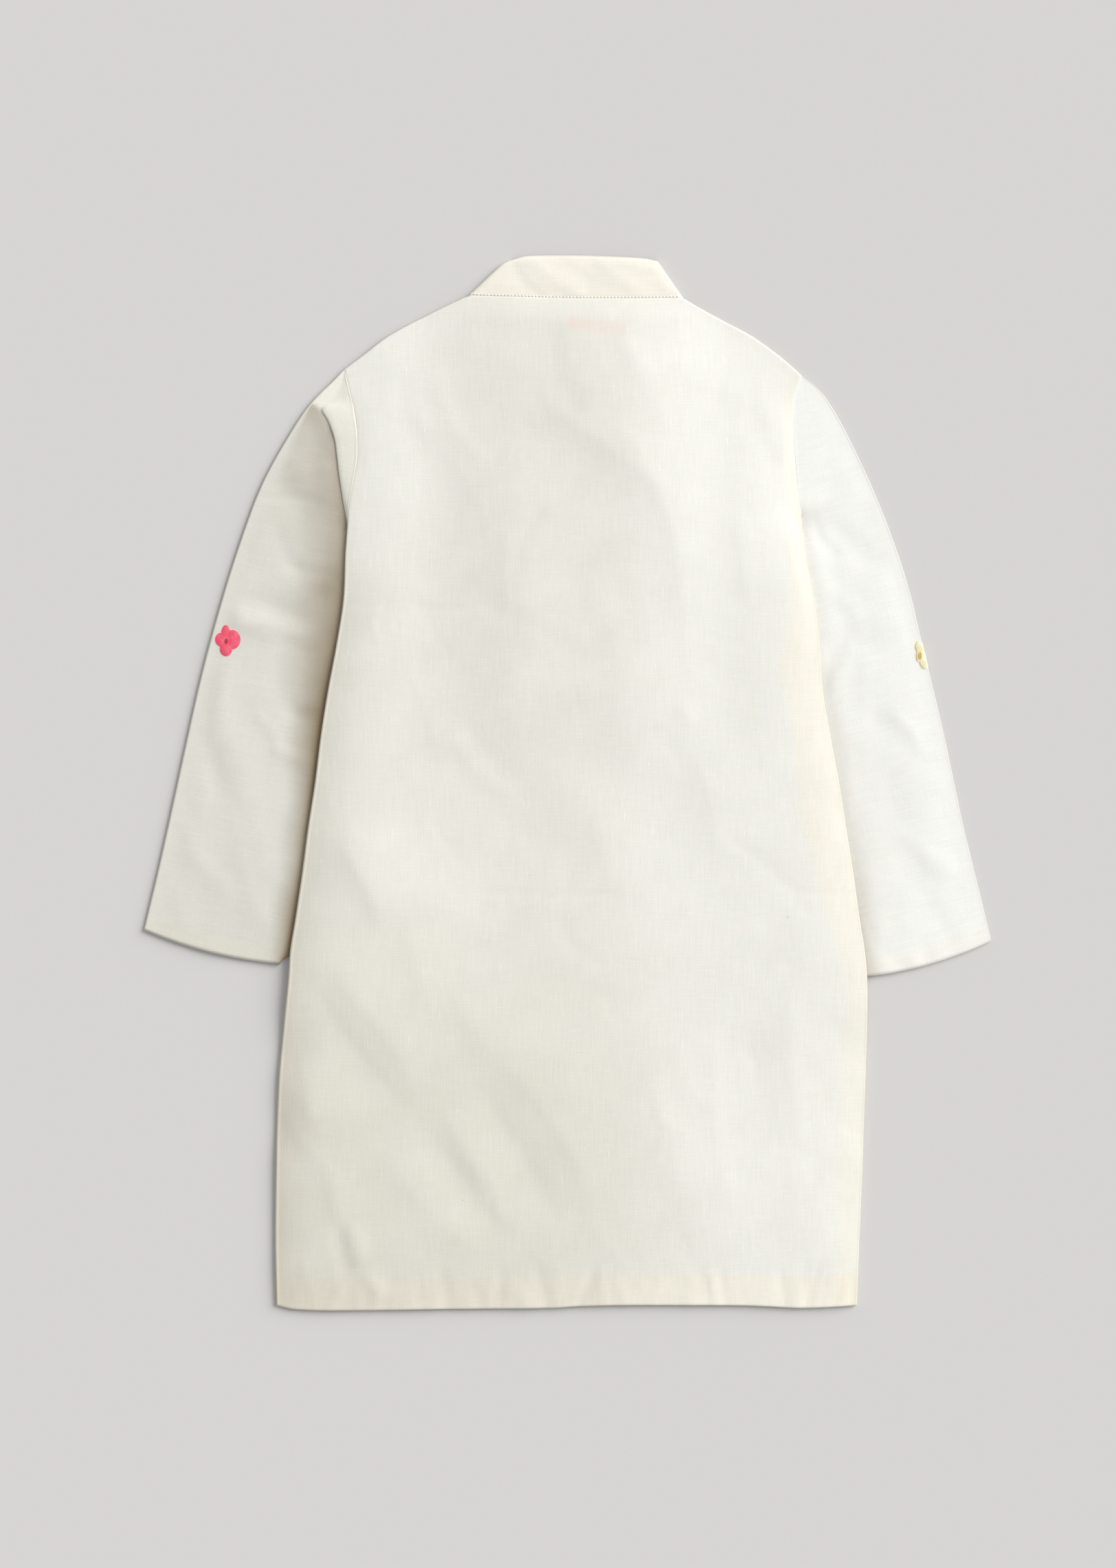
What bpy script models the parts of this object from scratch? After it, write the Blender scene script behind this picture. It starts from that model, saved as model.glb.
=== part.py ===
"""A child's long-sleeved kurta, laid flat on its front with its back up.

X runs across the garment, +Y up to the collar and +Z up from the surface it lies on.
Every size is in millimetres and is turned into metres as each mesh is made.
Each cut piece is one wall of cloth: an open middle surface with Solidify.
"""
import math
from collections import namedtuple

import bmesh
import bpy

MM = 0.001

# Cloth
WALL = 1.0
GAP = 0.3
LAYER = WALL + GAP
HALF = WALL / 2
FOLD_REACH = LAYER / 2

# Heights of the middle surfaces where the cloth lies flat
LOW = HALF
HIGH = HALF + LAYER

# Body: height of the measuring line, then the left and right side edges on it
SIDE_COLUMNS = ("y", "left", "right")
SIDES = (
    (150, -145.1, 155.0),
    (120, -146.4, 160.8),
    (90, -151.0, 164.5),
    (60, -156.6, 166.6),
    (30, -161.3, 171.6),
    (0, -165.0, 177.2),
    (-30, -169.6, 181.9),
    (-60, -173.5, 186.6),
    (-90, -178.0, 190.8),
    (-110, -181.2, 194.0),
    (-130, -182.6, 195.7),
    (-160, -185.7, 195.6),
    (-190, -188.6, 194.8),
    (-225, -190.2, 193.6),
    (-260, -190.9, 192.4),
    (-300, -191.3, 190.7),
    (-342, -190.4, 189.0),
)

# Armhole seam from shoulder tip to underarm, and how far the back on each side,
# and the front, are lifted there by what lies beneath
ARMHOLE_COLUMNS = ("left_x", "left_y", "right_x", "right_y", "left_lift", "right_lift", "front_lift")
ARMHOLE = (
    (-145.8, 270.5, 153.2, 266.0, 0.0, 0.0, 0.0),
    (-142.5, 256.2, 148.6, 254.5, 0.9, 0.1, 0.0),
    (-139.1, 241.8, 147.6, 242.0, 2.0, 0.2, 0.0),
    (-137.4, 227.3, 147.6, 229.5, 2.6, 0.3, 0.0),
    (-137.5, 212.7, 148.2, 217.0, 2.6, 0.5, 0.0),
    (-139.8, 198.2, 149.2, 204.6, 2.6, 0.9, 0.2),
    (-142.4, 183.6, 150.5, 192.1, 2.6, 1.6, 0.9),
    (-143.6, 168.9, 152.1, 179.6, 2.6, 2.6, 2.6),
)

# Shoulder edge from neck to tip
SHOULDER_COLUMNS = ("left_x", "left_y", "right_x", "right_y")
SHOULDER = (
    (-65.0, 318.2, 75.6, 316.6),
    (-79.0, 311.8, 88.0, 309.4),
    (-93.2, 304.7, 101.7, 302.0),
    (-106.2, 298.2, 120.2, 292.1),
    (-119.5, 290.4, 136.4, 280.6),
    (-132.3, 280.6, 145.6, 273.0),
    (-145.8, 270.5, 153.2, 266.0),
)

HEM_COLUMNS = ("x", "y")
HEM = (
    (-190.4, -342.0),
    (-176.0, -344.7),
    (-138.6, -345.2),
    (-77.0, -344.3),
    (-14.9, -343.7),
    (6.3, -342.6),
    (37.4, -341.8),
    (115.0, -342.0),
    (153.5, -343.6),
    (189.0, -342.0),
)

# Outer fold of each sleeve from shoulder to cuff
SLEEVE_EDGE_COLUMNS = ("left_x", "left_y", "right_x", "right_y")
SLEEVE_EDGE = (
    (-150.0, 266.0, 158.0, 262.5),
    (-166.5, 250.4, 169.2, 251.6),
    (-180.4, 231.0, 184.1, 225.9),
    (-200.7, 194.4, 204.3, 181.8),
    (-216.8, 150.8, 221.4, 134.1),
    (-230.2, 106.7, 231.8, 92.5),
    (-242.1, 61.2, 246.2, 32.4),
    (-257.0, -6.5, 258.3, -24.8),
    (-267.3, -53.1, 268.0, -64.8),
    (-277.6, -96.2, 277.4, -103.6),
)
# Length of that fold above the line across from the underarm
SLEEVE_CAP = {"left": 101.0, "right": 82.0}
# Distance down the side seam to where the cuff passes under the body
SLEEVE_INSIDE = {"left": 291.0, "right": 310.0}
CUFF_BOW = 4.0
# Share of the first armhole row where the sleeve's cloth begins, below the shoulder tip
TIP_SHARE = 0.3
# Rise of a sleeve's back between its folds, reached where the sleeve is this wide
SLEEVE_LOFT = 1.2
LOFT_FULL_WIDTH = 90.0
LOFT_STEPS = 5
BAND_STEPS = 5

# How far the sleeve runs in under the body, and where down the side it gets there
TUCK_UNDER = 8.0
CLEAR_OF_SIDE = 1.6
CLEAR_BESIDE = 3.5
LEAST_BESIDE = 5.0
TUCK_UNDER_START = 9.0
TUCK_UNDER_RUN = 25.0
SIDE_LIFT = 2 * LAYER
SIDE_LIFT_END = {"left": -136.0, "right": -144.0}
SIDE_LIFT_RUN = 45.0

# Pleat in the top of the left sleeve: width of cloth between seam and fold edge at
# each armhole row, and how far the pleat is formed there
PLEAT_COLUMNS = ("width", "formed")
PLEAT = (
    (2.0, 0.0),
    (9.0, 0.0),
    (23.5, 0.5),
    (17.5, 1.0),
    (14.0, 1.0),
    (11.0, 1.0),
    (7.5, 0.6),
    (12.0, 0.0),
)
PLEAT_UNDERCUT = 1.6
PLEAT_NOSE = 0.55
# Where there is no pleat, the cloth beside the armhole comes down over this width,
# at the shoulder tip and from the fourth row on
SLOPE_WIDTH_AT_TIP = 2.5
SLOPE_WIDTH = 26.0
SLOPE_ROWS = 4

# Neck and collar
NECK_DIP = 1.2
NECK_DROP = 51.0
NECK_CURVE = 1.4
COLLAR_HEIGHT = 26.3
COLLAR_TOP = {"left": (-37.4, 343.4), "right": (57.4, 341.6)}
COLLAR_CURVE = 2.1
COLLAR_SLANT_ANGLE = {"left": 43.5, "right": 125.0}
# How far in from the shoulder's corners the band turns over
COLLAR_INSET = 0.8

# Half placket at the centre front, over buttons that rest on the surface
PLACKET_WIDTH = 28.0
PLACKET_LENGTH = 180.0
UNDER_STRIP_WIDTH = 23.0
UNDER_STRIP_INSET = 2.0
UNDER_STRIP_LENGTH = 172.0
BUTTON_DIAMETER = 11.0
BUTTON_THICKNESS = 1.6
BUTTON_RIM = 0.35
BUTTON_COUNT = 4
BUTTON_PITCH = 42.0
FIRST_BUTTON = 16.0
PLACKET_LIFT = BUTTON_THICKNESS + GAP
CUTTER_DEPTH = 20.0

# Lift of the front and the back over the placket: half width of its level part, and
# the run of the slope round it
FRONT_SWELL = (24.0, 34.0)
BACK_SWELL = (34.0, 70.0)
# The back's lift eases off over this run, which ends this far past the neck seam
NECK_FALL_RUN = 28.0
NECK_FALL_PAST = 12.0

# Share of the width over which the back comes down from its lifted sides, and the
# shares where the front stays up and comes down
BACK_LIFT_SHARE = 0.35
FRONT_LIFT_FLAT = 0.045
FRONT_LIFT_SHARE = 0.10

# Fall of the back between its edges, over runs in from its sides and ends
CROWN = 1.8
CROWN_SIDE_RUN = 60.0
CROWN_END_RUN = 55.0
MEAN_WIDTH = 340.0
MEAN_LENGTH = 640.0

# Largest folds: a line from start to end, its half width, and its height or depth.
# They fade out over a run in from the edges
FOLD_FADE = 30.0
FOLD_COLUMNS = ("x0", "y0", "x1", "y1", "width", "rise")
Fold = namedtuple("Fold", FOLD_COLUMNS)
BACK_FOLDS = (
    (-30, 252, 83, 180, 16, -1.2),
    (83, 180, 96, 49, 14, -1.1),
    (99, 172, 106, 62, 10, 0.9),
    (-102, 238, -48, 175, 16, -0.9),
    (-39, 135, -21, 90, 11, -0.6),
    (-156, 6, -135, -28, 10, 1.3),
    (-154, -28, -124, -100, 13, -1.3),
    (-167, -118, -102, -203, 14, -1.4),
    (-170, -136, -111, -208, 10, 1.3),
    (-111, -208, -48, -306, 14, 1.5),
    (-88, -216, -66, -252, 11, -1.0),
    (-57, -190, -7, -226, 14, -1.2),
    (-39, -221, -3, -298, 12, 1.2),
    (-97, -302, -39, -320, 12, -0.9),
    (40, -60, 70, -170, 18, 0.7),
    (110, -120, 120, -290, 16, -0.6),
)
SLEEVE_FOLDS = {
    "left": (
        (-205, 118, -180, 110, 8, -0.7),
        (-214, 106, -180, 97, 8, 0.9),
        (-190, 205, -176, 180, 9, -0.6),
        (-228, 60, -205, -40, 12, 0.6),
    ),
    "right": (
        (164, 80, 190, 92, 9, -0.7),
        (170, 168, 192, 150, 9, -0.6),
        (205, 120, 232, 0, 12, 0.7),
        (215, -20, 232, -80, 12, -0.5),
    ),
}

# Blank label inside the back of the neck
LABEL_WIDTH = 38.0
LABEL_HEIGHT = 8.6
LABEL_CENTRE = (18.7, 298.0)
LABEL_WALL = 0.5
LABEL_CLEARANCE = 0.5

# How each panel is divided
ARMHOLE_ROWS = len(ARMHOLE) - 1
BACK_SIDE_ROWS = 33
FRONT_SIDE_ROWS = 24
NECK_COLUMNS = 12
BACK_SHOULDER = (0.0, 0.13, 0.27, 0.42, 0.57, 0.72, 0.87, 1.0)
FRONT_SHOULDER = (0.0, 0.125, 0.33, 0.56, 0.79, 1.0)
SLEEVE_LOWER_ROWS = 16
SLEEVE_LOWER_EASE = 1.25
COLLAR_BANDS = 3

CREAM = (0.80, 0.78, 0.70)
CREAM_DEEP = (0.84, 0.80, 0.68)
LABEL_PINK = (0.80, 0.62, 0.55)
SHELL_WHITE = (0.82, 0.79, 0.71)


def ease(t):
    """Smooth step from 0 at t = 0 to 1 at t = 1."""
    t = min(max(t, 0.0), 1.0)
    return t * t * (3 - 2 * t)


def mix(a, b, t):
    return a + (b - a) * t


def mix_point(a, b, t):
    return (mix(a[0], b[0], t), mix(a[1], b[1], t))


def column(table, names, *wanted):
    """The named columns of a table, as tuples row by row."""
    places = [names.index(name) for name in wanted]
    return [tuple(row[place] for place in places) for row in table]


def smooth(points, steps=12):
    """A dense line through the points, rounded as a Catmull-Rom curve."""
    line = []
    last = len(points) - 1
    for i in range(last):
        before = points[max(i - 1, 0)]
        start, end = points[i], points[i + 1]
        after = points[min(i + 2, last)]
        for step in range(steps):
            t = step / steps
            line.append(tuple(
                0.5 * (2 * start[k] + (end[k] - before[k]) * t
                       + (2 * before[k] - 5 * start[k] + 4 * end[k] - after[k]) * t ** 2
                       + (3 * start[k] - 3 * end[k] + after[k] - before[k]) * t ** 3)
                for k in (0, 1)))
    line.append(points[last])
    return line


class Route:
    """A curve that gives the point at any distance along it."""

    def __init__(self, points):
        self.line = smooth(points)
        self.at = [0.0]
        for a, b in zip(self.line, self.line[1:]):
            self.at.append(self.at[-1] + math.dist(a, b))
        self.length = self.at[-1]

    def point(self, distance):
        distance = min(max(distance, 0.0), self.length)
        for i in range(len(self.line) - 1):
            if distance <= self.at[i + 1]:
                span = self.at[i + 1] - self.at[i]
                return mix_point(self.line[i], self.line[i + 1], (distance - self.at[i]) / span)
        return self.line[-1]

    def spaced(self, fractions):
        return [self.point(f * self.length) for f in fractions]


def evenly(count):
    return [i / count for i in range(count + 1)]


def shifted(line, distances):
    """The line moved to its left, looking along it, by one distance or one for each point."""
    if isinstance(distances, (int, float)):
        distances = [distances] * len(line)
    moved = []
    for i, (x, y) in enumerate(line):
        a = line[max(i - 1, 0)]
        b = line[min(i + 1, len(line) - 1)]
        run = math.dist(a, b)
        moved.append((x - (b[1] - a[1]) / run * distances[i], y + (b[0] - a[0]) / run * distances[i]))
    return moved


def fold_height(x, y, folds):
    """Sum of the soft ridges and troughs at a point."""
    height = 0.0
    for row in folds:
        fold = Fold(*row)
        run = math.dist((fold.x0, fold.y0), (fold.x1, fold.y1))
        way = ((fold.x1 - fold.x0) / run, (fold.y1 - fold.y0) / run)
        along = (x - fold.x0) * way[0] + (y - fold.y0) * way[1]
        off = (x - fold.x0) * way[1] - (y - fold.y0) * way[0]
        past = max(-along, along - run, 0.0)
        height += fold.rise * math.exp(-(off / fold.width) ** 2 - (past / (1.5 * fold.width)) ** 2)
    return height


def side_seam(side):
    """Side edge from the underarm to the hem's corner."""
    underarm = column(ARMHOLE, ARMHOLE_COLUMNS, side + "_x", side + "_y")[-1]
    return Route([underarm] + column(SIDES, SIDE_COLUMNS, side, "y"))


def side_lift(side, y):
    """Lift of the body's edge over the sleeve that lies beneath it."""
    return SIDE_LIFT * ease(1 - (SIDE_LIFT_END[side] - y) / SIDE_LIFT_RUN)


def body_edge(side, rows_below):
    """Side of a body panel from shoulder tip to hem, with armhole rows then side rows."""
    armhole = column(ARMHOLE, ARMHOLE_COLUMNS, side + "_x", side + "_y")
    return armhole + side_seam(side).spaced(evenly(rows_below))[1:]


def edge_lifts(side, lift_name, edge):
    """Lift of each row of a body panel's edge."""
    lifts = [row[0] for row in column(ARMHOLE, ARMHOLE_COLUMNS, lift_name)]
    return lifts + [side_lift(side, y) for x, y in edge[len(lifts):]]


def shoulder_edge(side, fractions):
    """Shoulder from neck to tip."""
    return Route(column(SHOULDER, SHOULDER_COLUMNS, side + "_x", side + "_y")).spaced(fractions)


NECK_LEFT = SHOULDER[0][0:2]
NECK_RIGHT = SHOULDER[0][2:4]
NECK_CENTRE = (NECK_LEFT[0] + NECK_RIGHT[0]) / 2
NECK_HALF = (NECK_RIGHT[0] - NECK_LEFT[0]) / 2
NECK_LINE = (NECK_LEFT[1] + NECK_RIGHT[1]) / 2
PLACKET_TOP = NECK_LINE - NECK_DROP


def back_neck():
    """Back neck seam, left to right, almost straight."""
    line = []
    for t in evenly(NECK_COLUMNS):
        x, y = mix_point(NECK_LEFT, NECK_RIGHT, t)
        line.append((x, y - NECK_DIP * math.sin(math.pi * t)))
    return line


def front_neck():
    """Front neck seam, left to right, a half ellipse."""
    line = []
    for t in evenly(NECK_COLUMNS):
        x = NECK_CENTRE - NECK_HALF * math.cos(math.pi * t)
        level = mix(NECK_LEFT[1], NECK_RIGHT[1], t)
        line.append((x, level - NECK_DROP * math.sin(math.pi * t) ** NECK_CURVE))
    return line


def placket_swell(x, y, swell):
    """1 over the placket, easing to 0 around it."""
    flat, run = swell
    across = ease(1 - (abs(x - NECK_CENTRE) - flat) / run)
    foot = PLACKET_TOP - PLACKET_LENGTH
    down = ease(1 - (foot - flat / 2 - y) / run)
    return across * down


def front_height(x, y):
    """Middle of the front away from its lifted sides."""
    return LOW + PLACKET_LIFT * placket_swell(x, y, FRONT_SWELL)


def back_rise(x, y):
    """Broad lift of the back over the placket, easing off towards the neck seam."""
    neck = ease((NECK_LINE + NECK_FALL_PAST - y) / NECK_FALL_RUN)
    return (PLACKET_LIFT + LAYER) * placket_swell(x, y, BACK_SWELL) * neck


def back_height(x, y, u, v, left_lift, right_lift):
    """Middle of the back at a point, u across it and v down it."""
    left = left_lift * ease(1 - u / BACK_LIFT_SHARE)
    right = right_lift * ease(1 - (1 - u) / BACK_LIFT_SHARE)
    side_inset = min(u, 1 - u) * MEAN_WIDTH
    end_inset = min(v, 1 - v) * MEAN_LENGTH
    inside = ease(side_inset / CROWN_SIDE_RUN) * ease(end_inset / CROWN_END_RUN)
    faded = ease(side_inset / FOLD_FADE) * ease(end_inset / FOLD_FADE)
    crease = fold_height(x, y, BACK_FOLDS) * faded
    return HIGH + left + right + CROWN * inside + crease + back_rise(x, y)


def cloth_mesh(name, rows, weld=False):
    """Open middle surface from rows of points in millimetres, shaped from a grid."""
    count_v = len(rows) - 1
    count_u = len(rows[0]) - 1
    shape = bmesh.new()
    bmesh.ops.create_grid(shape, x_segments=count_u, y_segments=count_v, size=1)
    for vert in shape.verts:
        i = round((vert.co.x + 1) / 2 * count_u)
        j = round((1 - vert.co.y) / 2 * count_v)
        vert.co = [value * MM for value in rows[j][i]]
    if weld:
        bmesh.ops.remove_doubles(shape, verts=shape.verts, dist=0.00001)
    mesh = bpy.data.meshes.new(name)
    shape.to_mesh(mesh)
    shape.free()
    mesh.shade_smooth()
    return mesh


def finish(name, colour, roughness=0.85):
    """A plain cloth or shell material."""
    material = bpy.data.materials.new(name)
    material.use_nodes = True
    shader = material.node_tree.nodes["Principled BSDF"]
    shader.inputs["Base Color"].default_value = (*colour, 1)
    shader.inputs["Roughness"].default_value = roughness
    shader.inputs["Metallic"].default_value = 0
    return material


def place(collection, name, mesh, material, wall=WALL):
    """An object in the garment's collection, thickened when it is a wall of cloth."""
    thing = bpy.data.objects.new(name, mesh)
    mesh.materials.append(material)
    collection.objects.link(thing)
    if wall:
        thick = thing.modifiers.new("Wall", "SOLIDIFY")
        thick.thickness = wall * MM
        thick.offset = 0
        thick.use_rim = True
    return thing


def panel_points(top, bottom, left, right):
    """Points of a four-sided panel blended from its edges, row by row.

    Columns keep their share of the top edge's width, rows their share of the sides."""
    span = top[-1][0] - top[0][0]
    across = [(x - top[0][0]) / span for x, y in top]
    at = [0.0]
    for a, b in zip(left, left[1:]):
        at.append(at[-1] + math.dist(a, b))
    down = [distance / at[-1] for distance in at]
    corners = (top[0], top[-1], bottom[0], bottom[-1])
    rows = []
    for j, v in enumerate(down):
        row = []
        for i, u in enumerate(across):
            point = []
            for k in (0, 1):
                blend = mix(top[i][k], bottom[i][k], v) + mix(left[j][k], right[j][k], u)
                plain = mix(mix(corners[0][k], corners[1][k], u), mix(corners[2][k], corners[3][k], u), v)
                point.append(blend - plain)
            row.append((point[0], point[1], u, v))
        rows.append(row)
    return rows


def body_panel(neck, shoulder_steps, rows_below):
    """Outline and inner points of the back or the front."""
    from_tip = [1 - f for f in shoulder_steps]
    left_shoulder = shoulder_edge("left", from_tip)
    right_shoulder = shoulder_edge("right", from_tip)[::-1]
    top = left_shoulder[:-1] + neck + right_shoulder[1:]
    span = top[-1][0] - top[0][0]
    hem = Route(column(HEM, HEM_COLUMNS, "x", "y"))
    bottom = hem.spaced([(x - top[0][0]) / span for x, y in top])
    left = body_edge("left", rows_below)
    right = body_edge("right", rows_below)
    return panel_points(top, bottom, left, right), left, right


def back_panel():
    points, left, right = body_panel(back_neck(), BACK_SHOULDER, BACK_SIDE_ROWS)
    left_lifts = edge_lifts("left", "left_lift", left)
    right_lifts = edge_lifts("right", "right_lift", right)
    rows = []
    for j, row in enumerate(points):
        rows.append([(x, y, back_height(x, y, u, v, left_lifts[j], right_lifts[j])) for x, y, u, v in row])
    return rows


def front_panel():
    points, left, right = body_panel(front_neck(), FRONT_SHOULDER, FRONT_SIDE_ROWS)
    left_lifts = edge_lifts("left", "front_lift", left)
    right_lifts = edge_lifts("right", "front_lift", right)
    rows = []
    for j, row in enumerate(points):
        line = []
        for x, y, u, v in row:
            raised = left_lifts[j] * ease(1 - (u - FRONT_LIFT_FLAT) / FRONT_LIFT_SHARE)
            raised += right_lifts[j] * ease(1 - (1 - u - FRONT_LIFT_FLAT) / FRONT_LIFT_SHARE)
            line.append((x, y, front_height(x, y) + raised))
        rows.append(line)
    return rows


def upper_band(row, side, seam_lift):
    """Distance from the armhole seam and height of the cloth next to it, step by step."""
    if side == "left":
        width, formed = column(PLEAT, PLEAT_COLUMNS, "width", "formed")[row]
    else:
        width = mix(SLOPE_WIDTH_AT_TIP, SLOPE_WIDTH, ease(row / SLOPE_ROWS))
        formed = 0.0
    top = HIGH + seam_lift
    drop = seam_lift
    cut = min(PLEAT_UNDERCUT, 0.3 * width)
    nose = min(PLEAT_NOSE, 0.3 * drop)
    plain = [(width * t, top - drop * ease(t)) for t in evenly(BAND_STEPS)]
    pleated = [
        (0.0, top),
        (0.5 * width, top),
        (width - min(0.5, 0.3 * width), top),
        (width, top - nose),
        (width - 0.6 * cut, mix(top - nose, HIGH, 0.6)),
        (width - cut, HIGH),
    ]
    return [(mix(a[0], b[0], formed), mix(a[1], b[1], formed)) for a, b in zip(plain, pleated)]


def sleeve_profile(side, row, length, lifts, under):
    """One ring of a sleeve: distance from its inner end and height, round from the back.

    Down to the underarm the ring is open and starts and ends at the armhole seam.
    Below it the ring is closed and its inner fold lies under the body's side."""
    back_lift, front_lift = lifts
    flat_end = length - FOLD_REACH
    if under is None:
        profile = upper_band(row, side, back_lift)
        width = profile[-1][0]
        low_end = [(0.65 * width, LOW), (0.3 * width, LOW + 0.5 * front_lift), (0.0, LOW + front_lift)]
    else:
        reach = max(under + CLEAR_BESIDE, LEAST_BESIDE)
        inner_fold = (-FOLD_REACH, (LOW + HIGH) / 2)
        profile = [inner_fold] + [(reach * t, HIGH) for t in evenly(BAND_STEPS - 1)]
        low_end = [(reach, LOW), (0.0, LOW), inner_fold]
    last = profile[-1][0]
    begin = last + min(SLOPE_WIDTH_AT_TIP, 0.25 * (flat_end - last))
    loft = SLEEVE_LOFT * ease(length / LOFT_FULL_WIDTH)
    for t in evenly(LOFT_STEPS):
        profile.append((mix(begin, flat_end, t), HIGH + loft * math.sin(math.pi * t)))
    profile.append((length, (LOW + HIGH) / 2))
    for t in evenly(LOFT_STEPS - 1)[:0:-1]:
        profile.append((mix(begin, flat_end, t), LOW))
    return profile + low_end


def sleeve_rows(side):
    """Rings of the flattened sleeve from shoulder tip to cuff, open above the underarm."""
    turn = 1 if side == "left" else -1
    seam = column(ARMHOLE, ARMHOLE_COLUMNS, side + "_x", side + "_y")
    seam_lifts = column(ARMHOLE, ARMHOLE_COLUMNS, side + "_lift", "front_lift")
    edge = Route(column(SLEEVE_EDGE, SLEEVE_EDGE_COLUMNS, side + "_x", side + "_y"))
    cap = SLEEVE_CAP[side]
    lower = evenly(SLEEVE_LOWER_ROWS)[1:]
    outer = [edge.point(cap * f) for f in evenly(ARMHOLE_ROWS)]
    outer += [edge.point(mix(cap, edge.length, f)) for f in lower]

    down_side = [SLEEVE_INSIDE[side] * f ** SLEEVE_LOWER_EASE for f in lower]
    under = [mix(-CLEAR_OF_SIDE, TUCK_UNDER, ease((d - TUCK_UNDER_START) / TUCK_UNDER_RUN)) for d in down_side]
    route = side_seam(side)
    seam[0] = mix_point(seam[0], seam[1], TIP_SHARE)
    inner = shifted(seam, -GAP * turn)
    inner += shifted([route.point(d) for d in down_side], [turn * u for u in under])

    rows = []
    for j, (start, end) in enumerate(zip(inner, outer)):
        length = math.dist(start, end) - HALF
        across = ((end[0] - start[0]) / (length + HALF), (end[1] - start[1]) / (length + HALF))
        share = max(j - ARMHOLE_ROWS, 0) / SLEEVE_LOWER_ROWS
        if j <= ARMHOLE_ROWS:
            profile = sleeve_profile(side, j, length, seam_lifts[j], None)
        else:
            profile = sleeve_profile(side, j, length, (0.0, 0.0), under[j - ARMHOLE_ROWS - 1])
        ring = []
        for k, (at, height) in enumerate(profile):
            bow = 4 * (at / length) * (1 - at / length) * CUFF_BOW * share ** 2
            x = start[0] + across[0] * at - turn * across[1] * bow
            y = start[1] + across[1] * at + turn * across[0] * bow
            loose = 0.0
            if BAND_STEPS + 1 < k < BAND_STEPS + 1 + LOFT_STEPS:
                loose = ease((height - HIGH) / (0.6 * SLEEVE_LOFT))
            ring.append((x, y, height + loose * fold_height(x, y, SLEEVE_FOLDS[side])))
        rows.append(ring)
    return rows


def collar_seam(neck):
    """The band's lower edge along a neck seam, its ends in from the shoulder's corners."""
    line = shifted(neck, GAP)
    line[0] = (line[0][0] + COLLAR_INSET, line[0][1])
    line[-1] = (line[-1][0] - COLLAR_INSET, line[-1][1])
    return line


def collar_rows():
    """Band across its height, from the left front end round the back to the right front end."""
    neck_below = collar_seam(front_neck())
    neck_behind = collar_seam(back_neck())
    middle = NECK_COLUMNS // 2
    columns = []

    def arm(side, index):
        """Seam point, top point and height of one front column."""
        part = index / middle if side == "left" else (NECK_COLUMNS - index) / middle
        seam = neck_below[index]
        swing = mix(COLLAR_SLANT_ANGLE[side], 90.0, ease(part) ** 1.2)
        slant = math.dist(neck_behind[0 if side == "left" else -1], COLLAR_TOP[side])
        width = mix(slant, COLLAR_HEIGHT, ease(part))
        turn = math.radians(swing)
        top = (seam[0] + width * math.cos(turn), seam[1] + width * math.sin(turn))
        return seam, top, front_height(*seam)

    for side in ("left", "right"):
        order = range(middle, -1, -1) if side == "left" else range(middle, NECK_COLUMNS + 1)
        columns.append([arm(side, index) for index in order])
    centre_gap = GAP / 2
    for arms, way in ((columns[0], -1), (columns[1], 1)):
        seam, top, height = arms[0]
        arms[0] = ((seam[0] + way * centre_gap, seam[1]), (top[0] + way * centre_gap, top[1]), height)

    def fold_column(side):
        """Outermost point of the band where it turns over at the slant."""
        end = 0 if side == "left" else -1
        way = -1 if side == "left" else 1
        seam, top = neck_behind[end], COLLAR_TOP[side]
        run = math.dist(seam, top)
        out = (way * (top[1] - seam[1]) / run * FOLD_REACH, -way * (top[0] - seam[0]) / run * FOLD_REACH)
        return ((seam[0] + out[0], seam[1] + out[1]), (top[0] + out[0], top[1] + out[1]), (LOW + HIGH) / 2)

    behind = []
    for i, seam in enumerate(neck_behind):
        t = i / NECK_COLUMNS
        x, y = mix_point(COLLAR_TOP["left"], COLLAR_TOP["right"], t)
        y += COLLAR_CURVE * math.sin(math.pi * t) ** 0.5
        behind.append((seam, (x, y), HIGH + back_rise(*seam)))
    ring = columns[0] + [fold_column("left")] + behind + [fold_column("right")] + columns[1][::-1]
    rows = []
    for band in range(COLLAR_BANDS + 1):
        v = band / COLLAR_BANDS
        rows.append([(*mix_point(top, seam, v), height) for seam, top, height in ring])
    return rows


def strip_rows(width, top, length, lift):
    """A placket strip level with the front over the buttons, or moved up by lift."""
    rows = []
    for v in evenly(12):
        line = []
        for u in evenly(4):
            x = NECK_CENTRE + width * (u - 0.5)
            y = PLACKET_TOP + top - length * v
            line.append((x, y, LOW + PLACKET_LIFT + lift))
        rows.append(line)
    return rows


def label_rows():
    """The label's points, taken from the back and moved in under it."""
    lines = []
    for v in evenly(2):
        line = []
        for u in evenly(6):
            x = LABEL_CENTRE[0] + LABEL_WIDTH * (u - 0.5)
            y = LABEL_CENTRE[1] - LABEL_HEIGHT * (v - 0.5)
            across = (x - SHOULDER[-1][0]) / (SHOULDER[-1][2] - SHOULDER[-1][0])
            down = (NECK_LINE - y) / (NECK_LINE - HEM[0][1])
            under = back_height(x, y, across, down, 0, 0) - HALF - LABEL_CLEARANCE - LABEL_WALL / 2
            line.append((x, y, under))
        lines.append(line)
    return lines


def button_mesh():
    """A low round button that lies on the surface."""
    shape = bmesh.new()
    radius = BUTTON_DIAMETER / 2 * MM
    bmesh.ops.create_cone(shape, cap_ends=True, segments=20, radius1=radius, radius2=radius,
                          depth=BUTTON_THICKNESS * MM)
    mesh = bpy.data.meshes.new("button")
    shape.to_mesh(mesh)
    shape.free()
    return mesh


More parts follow.
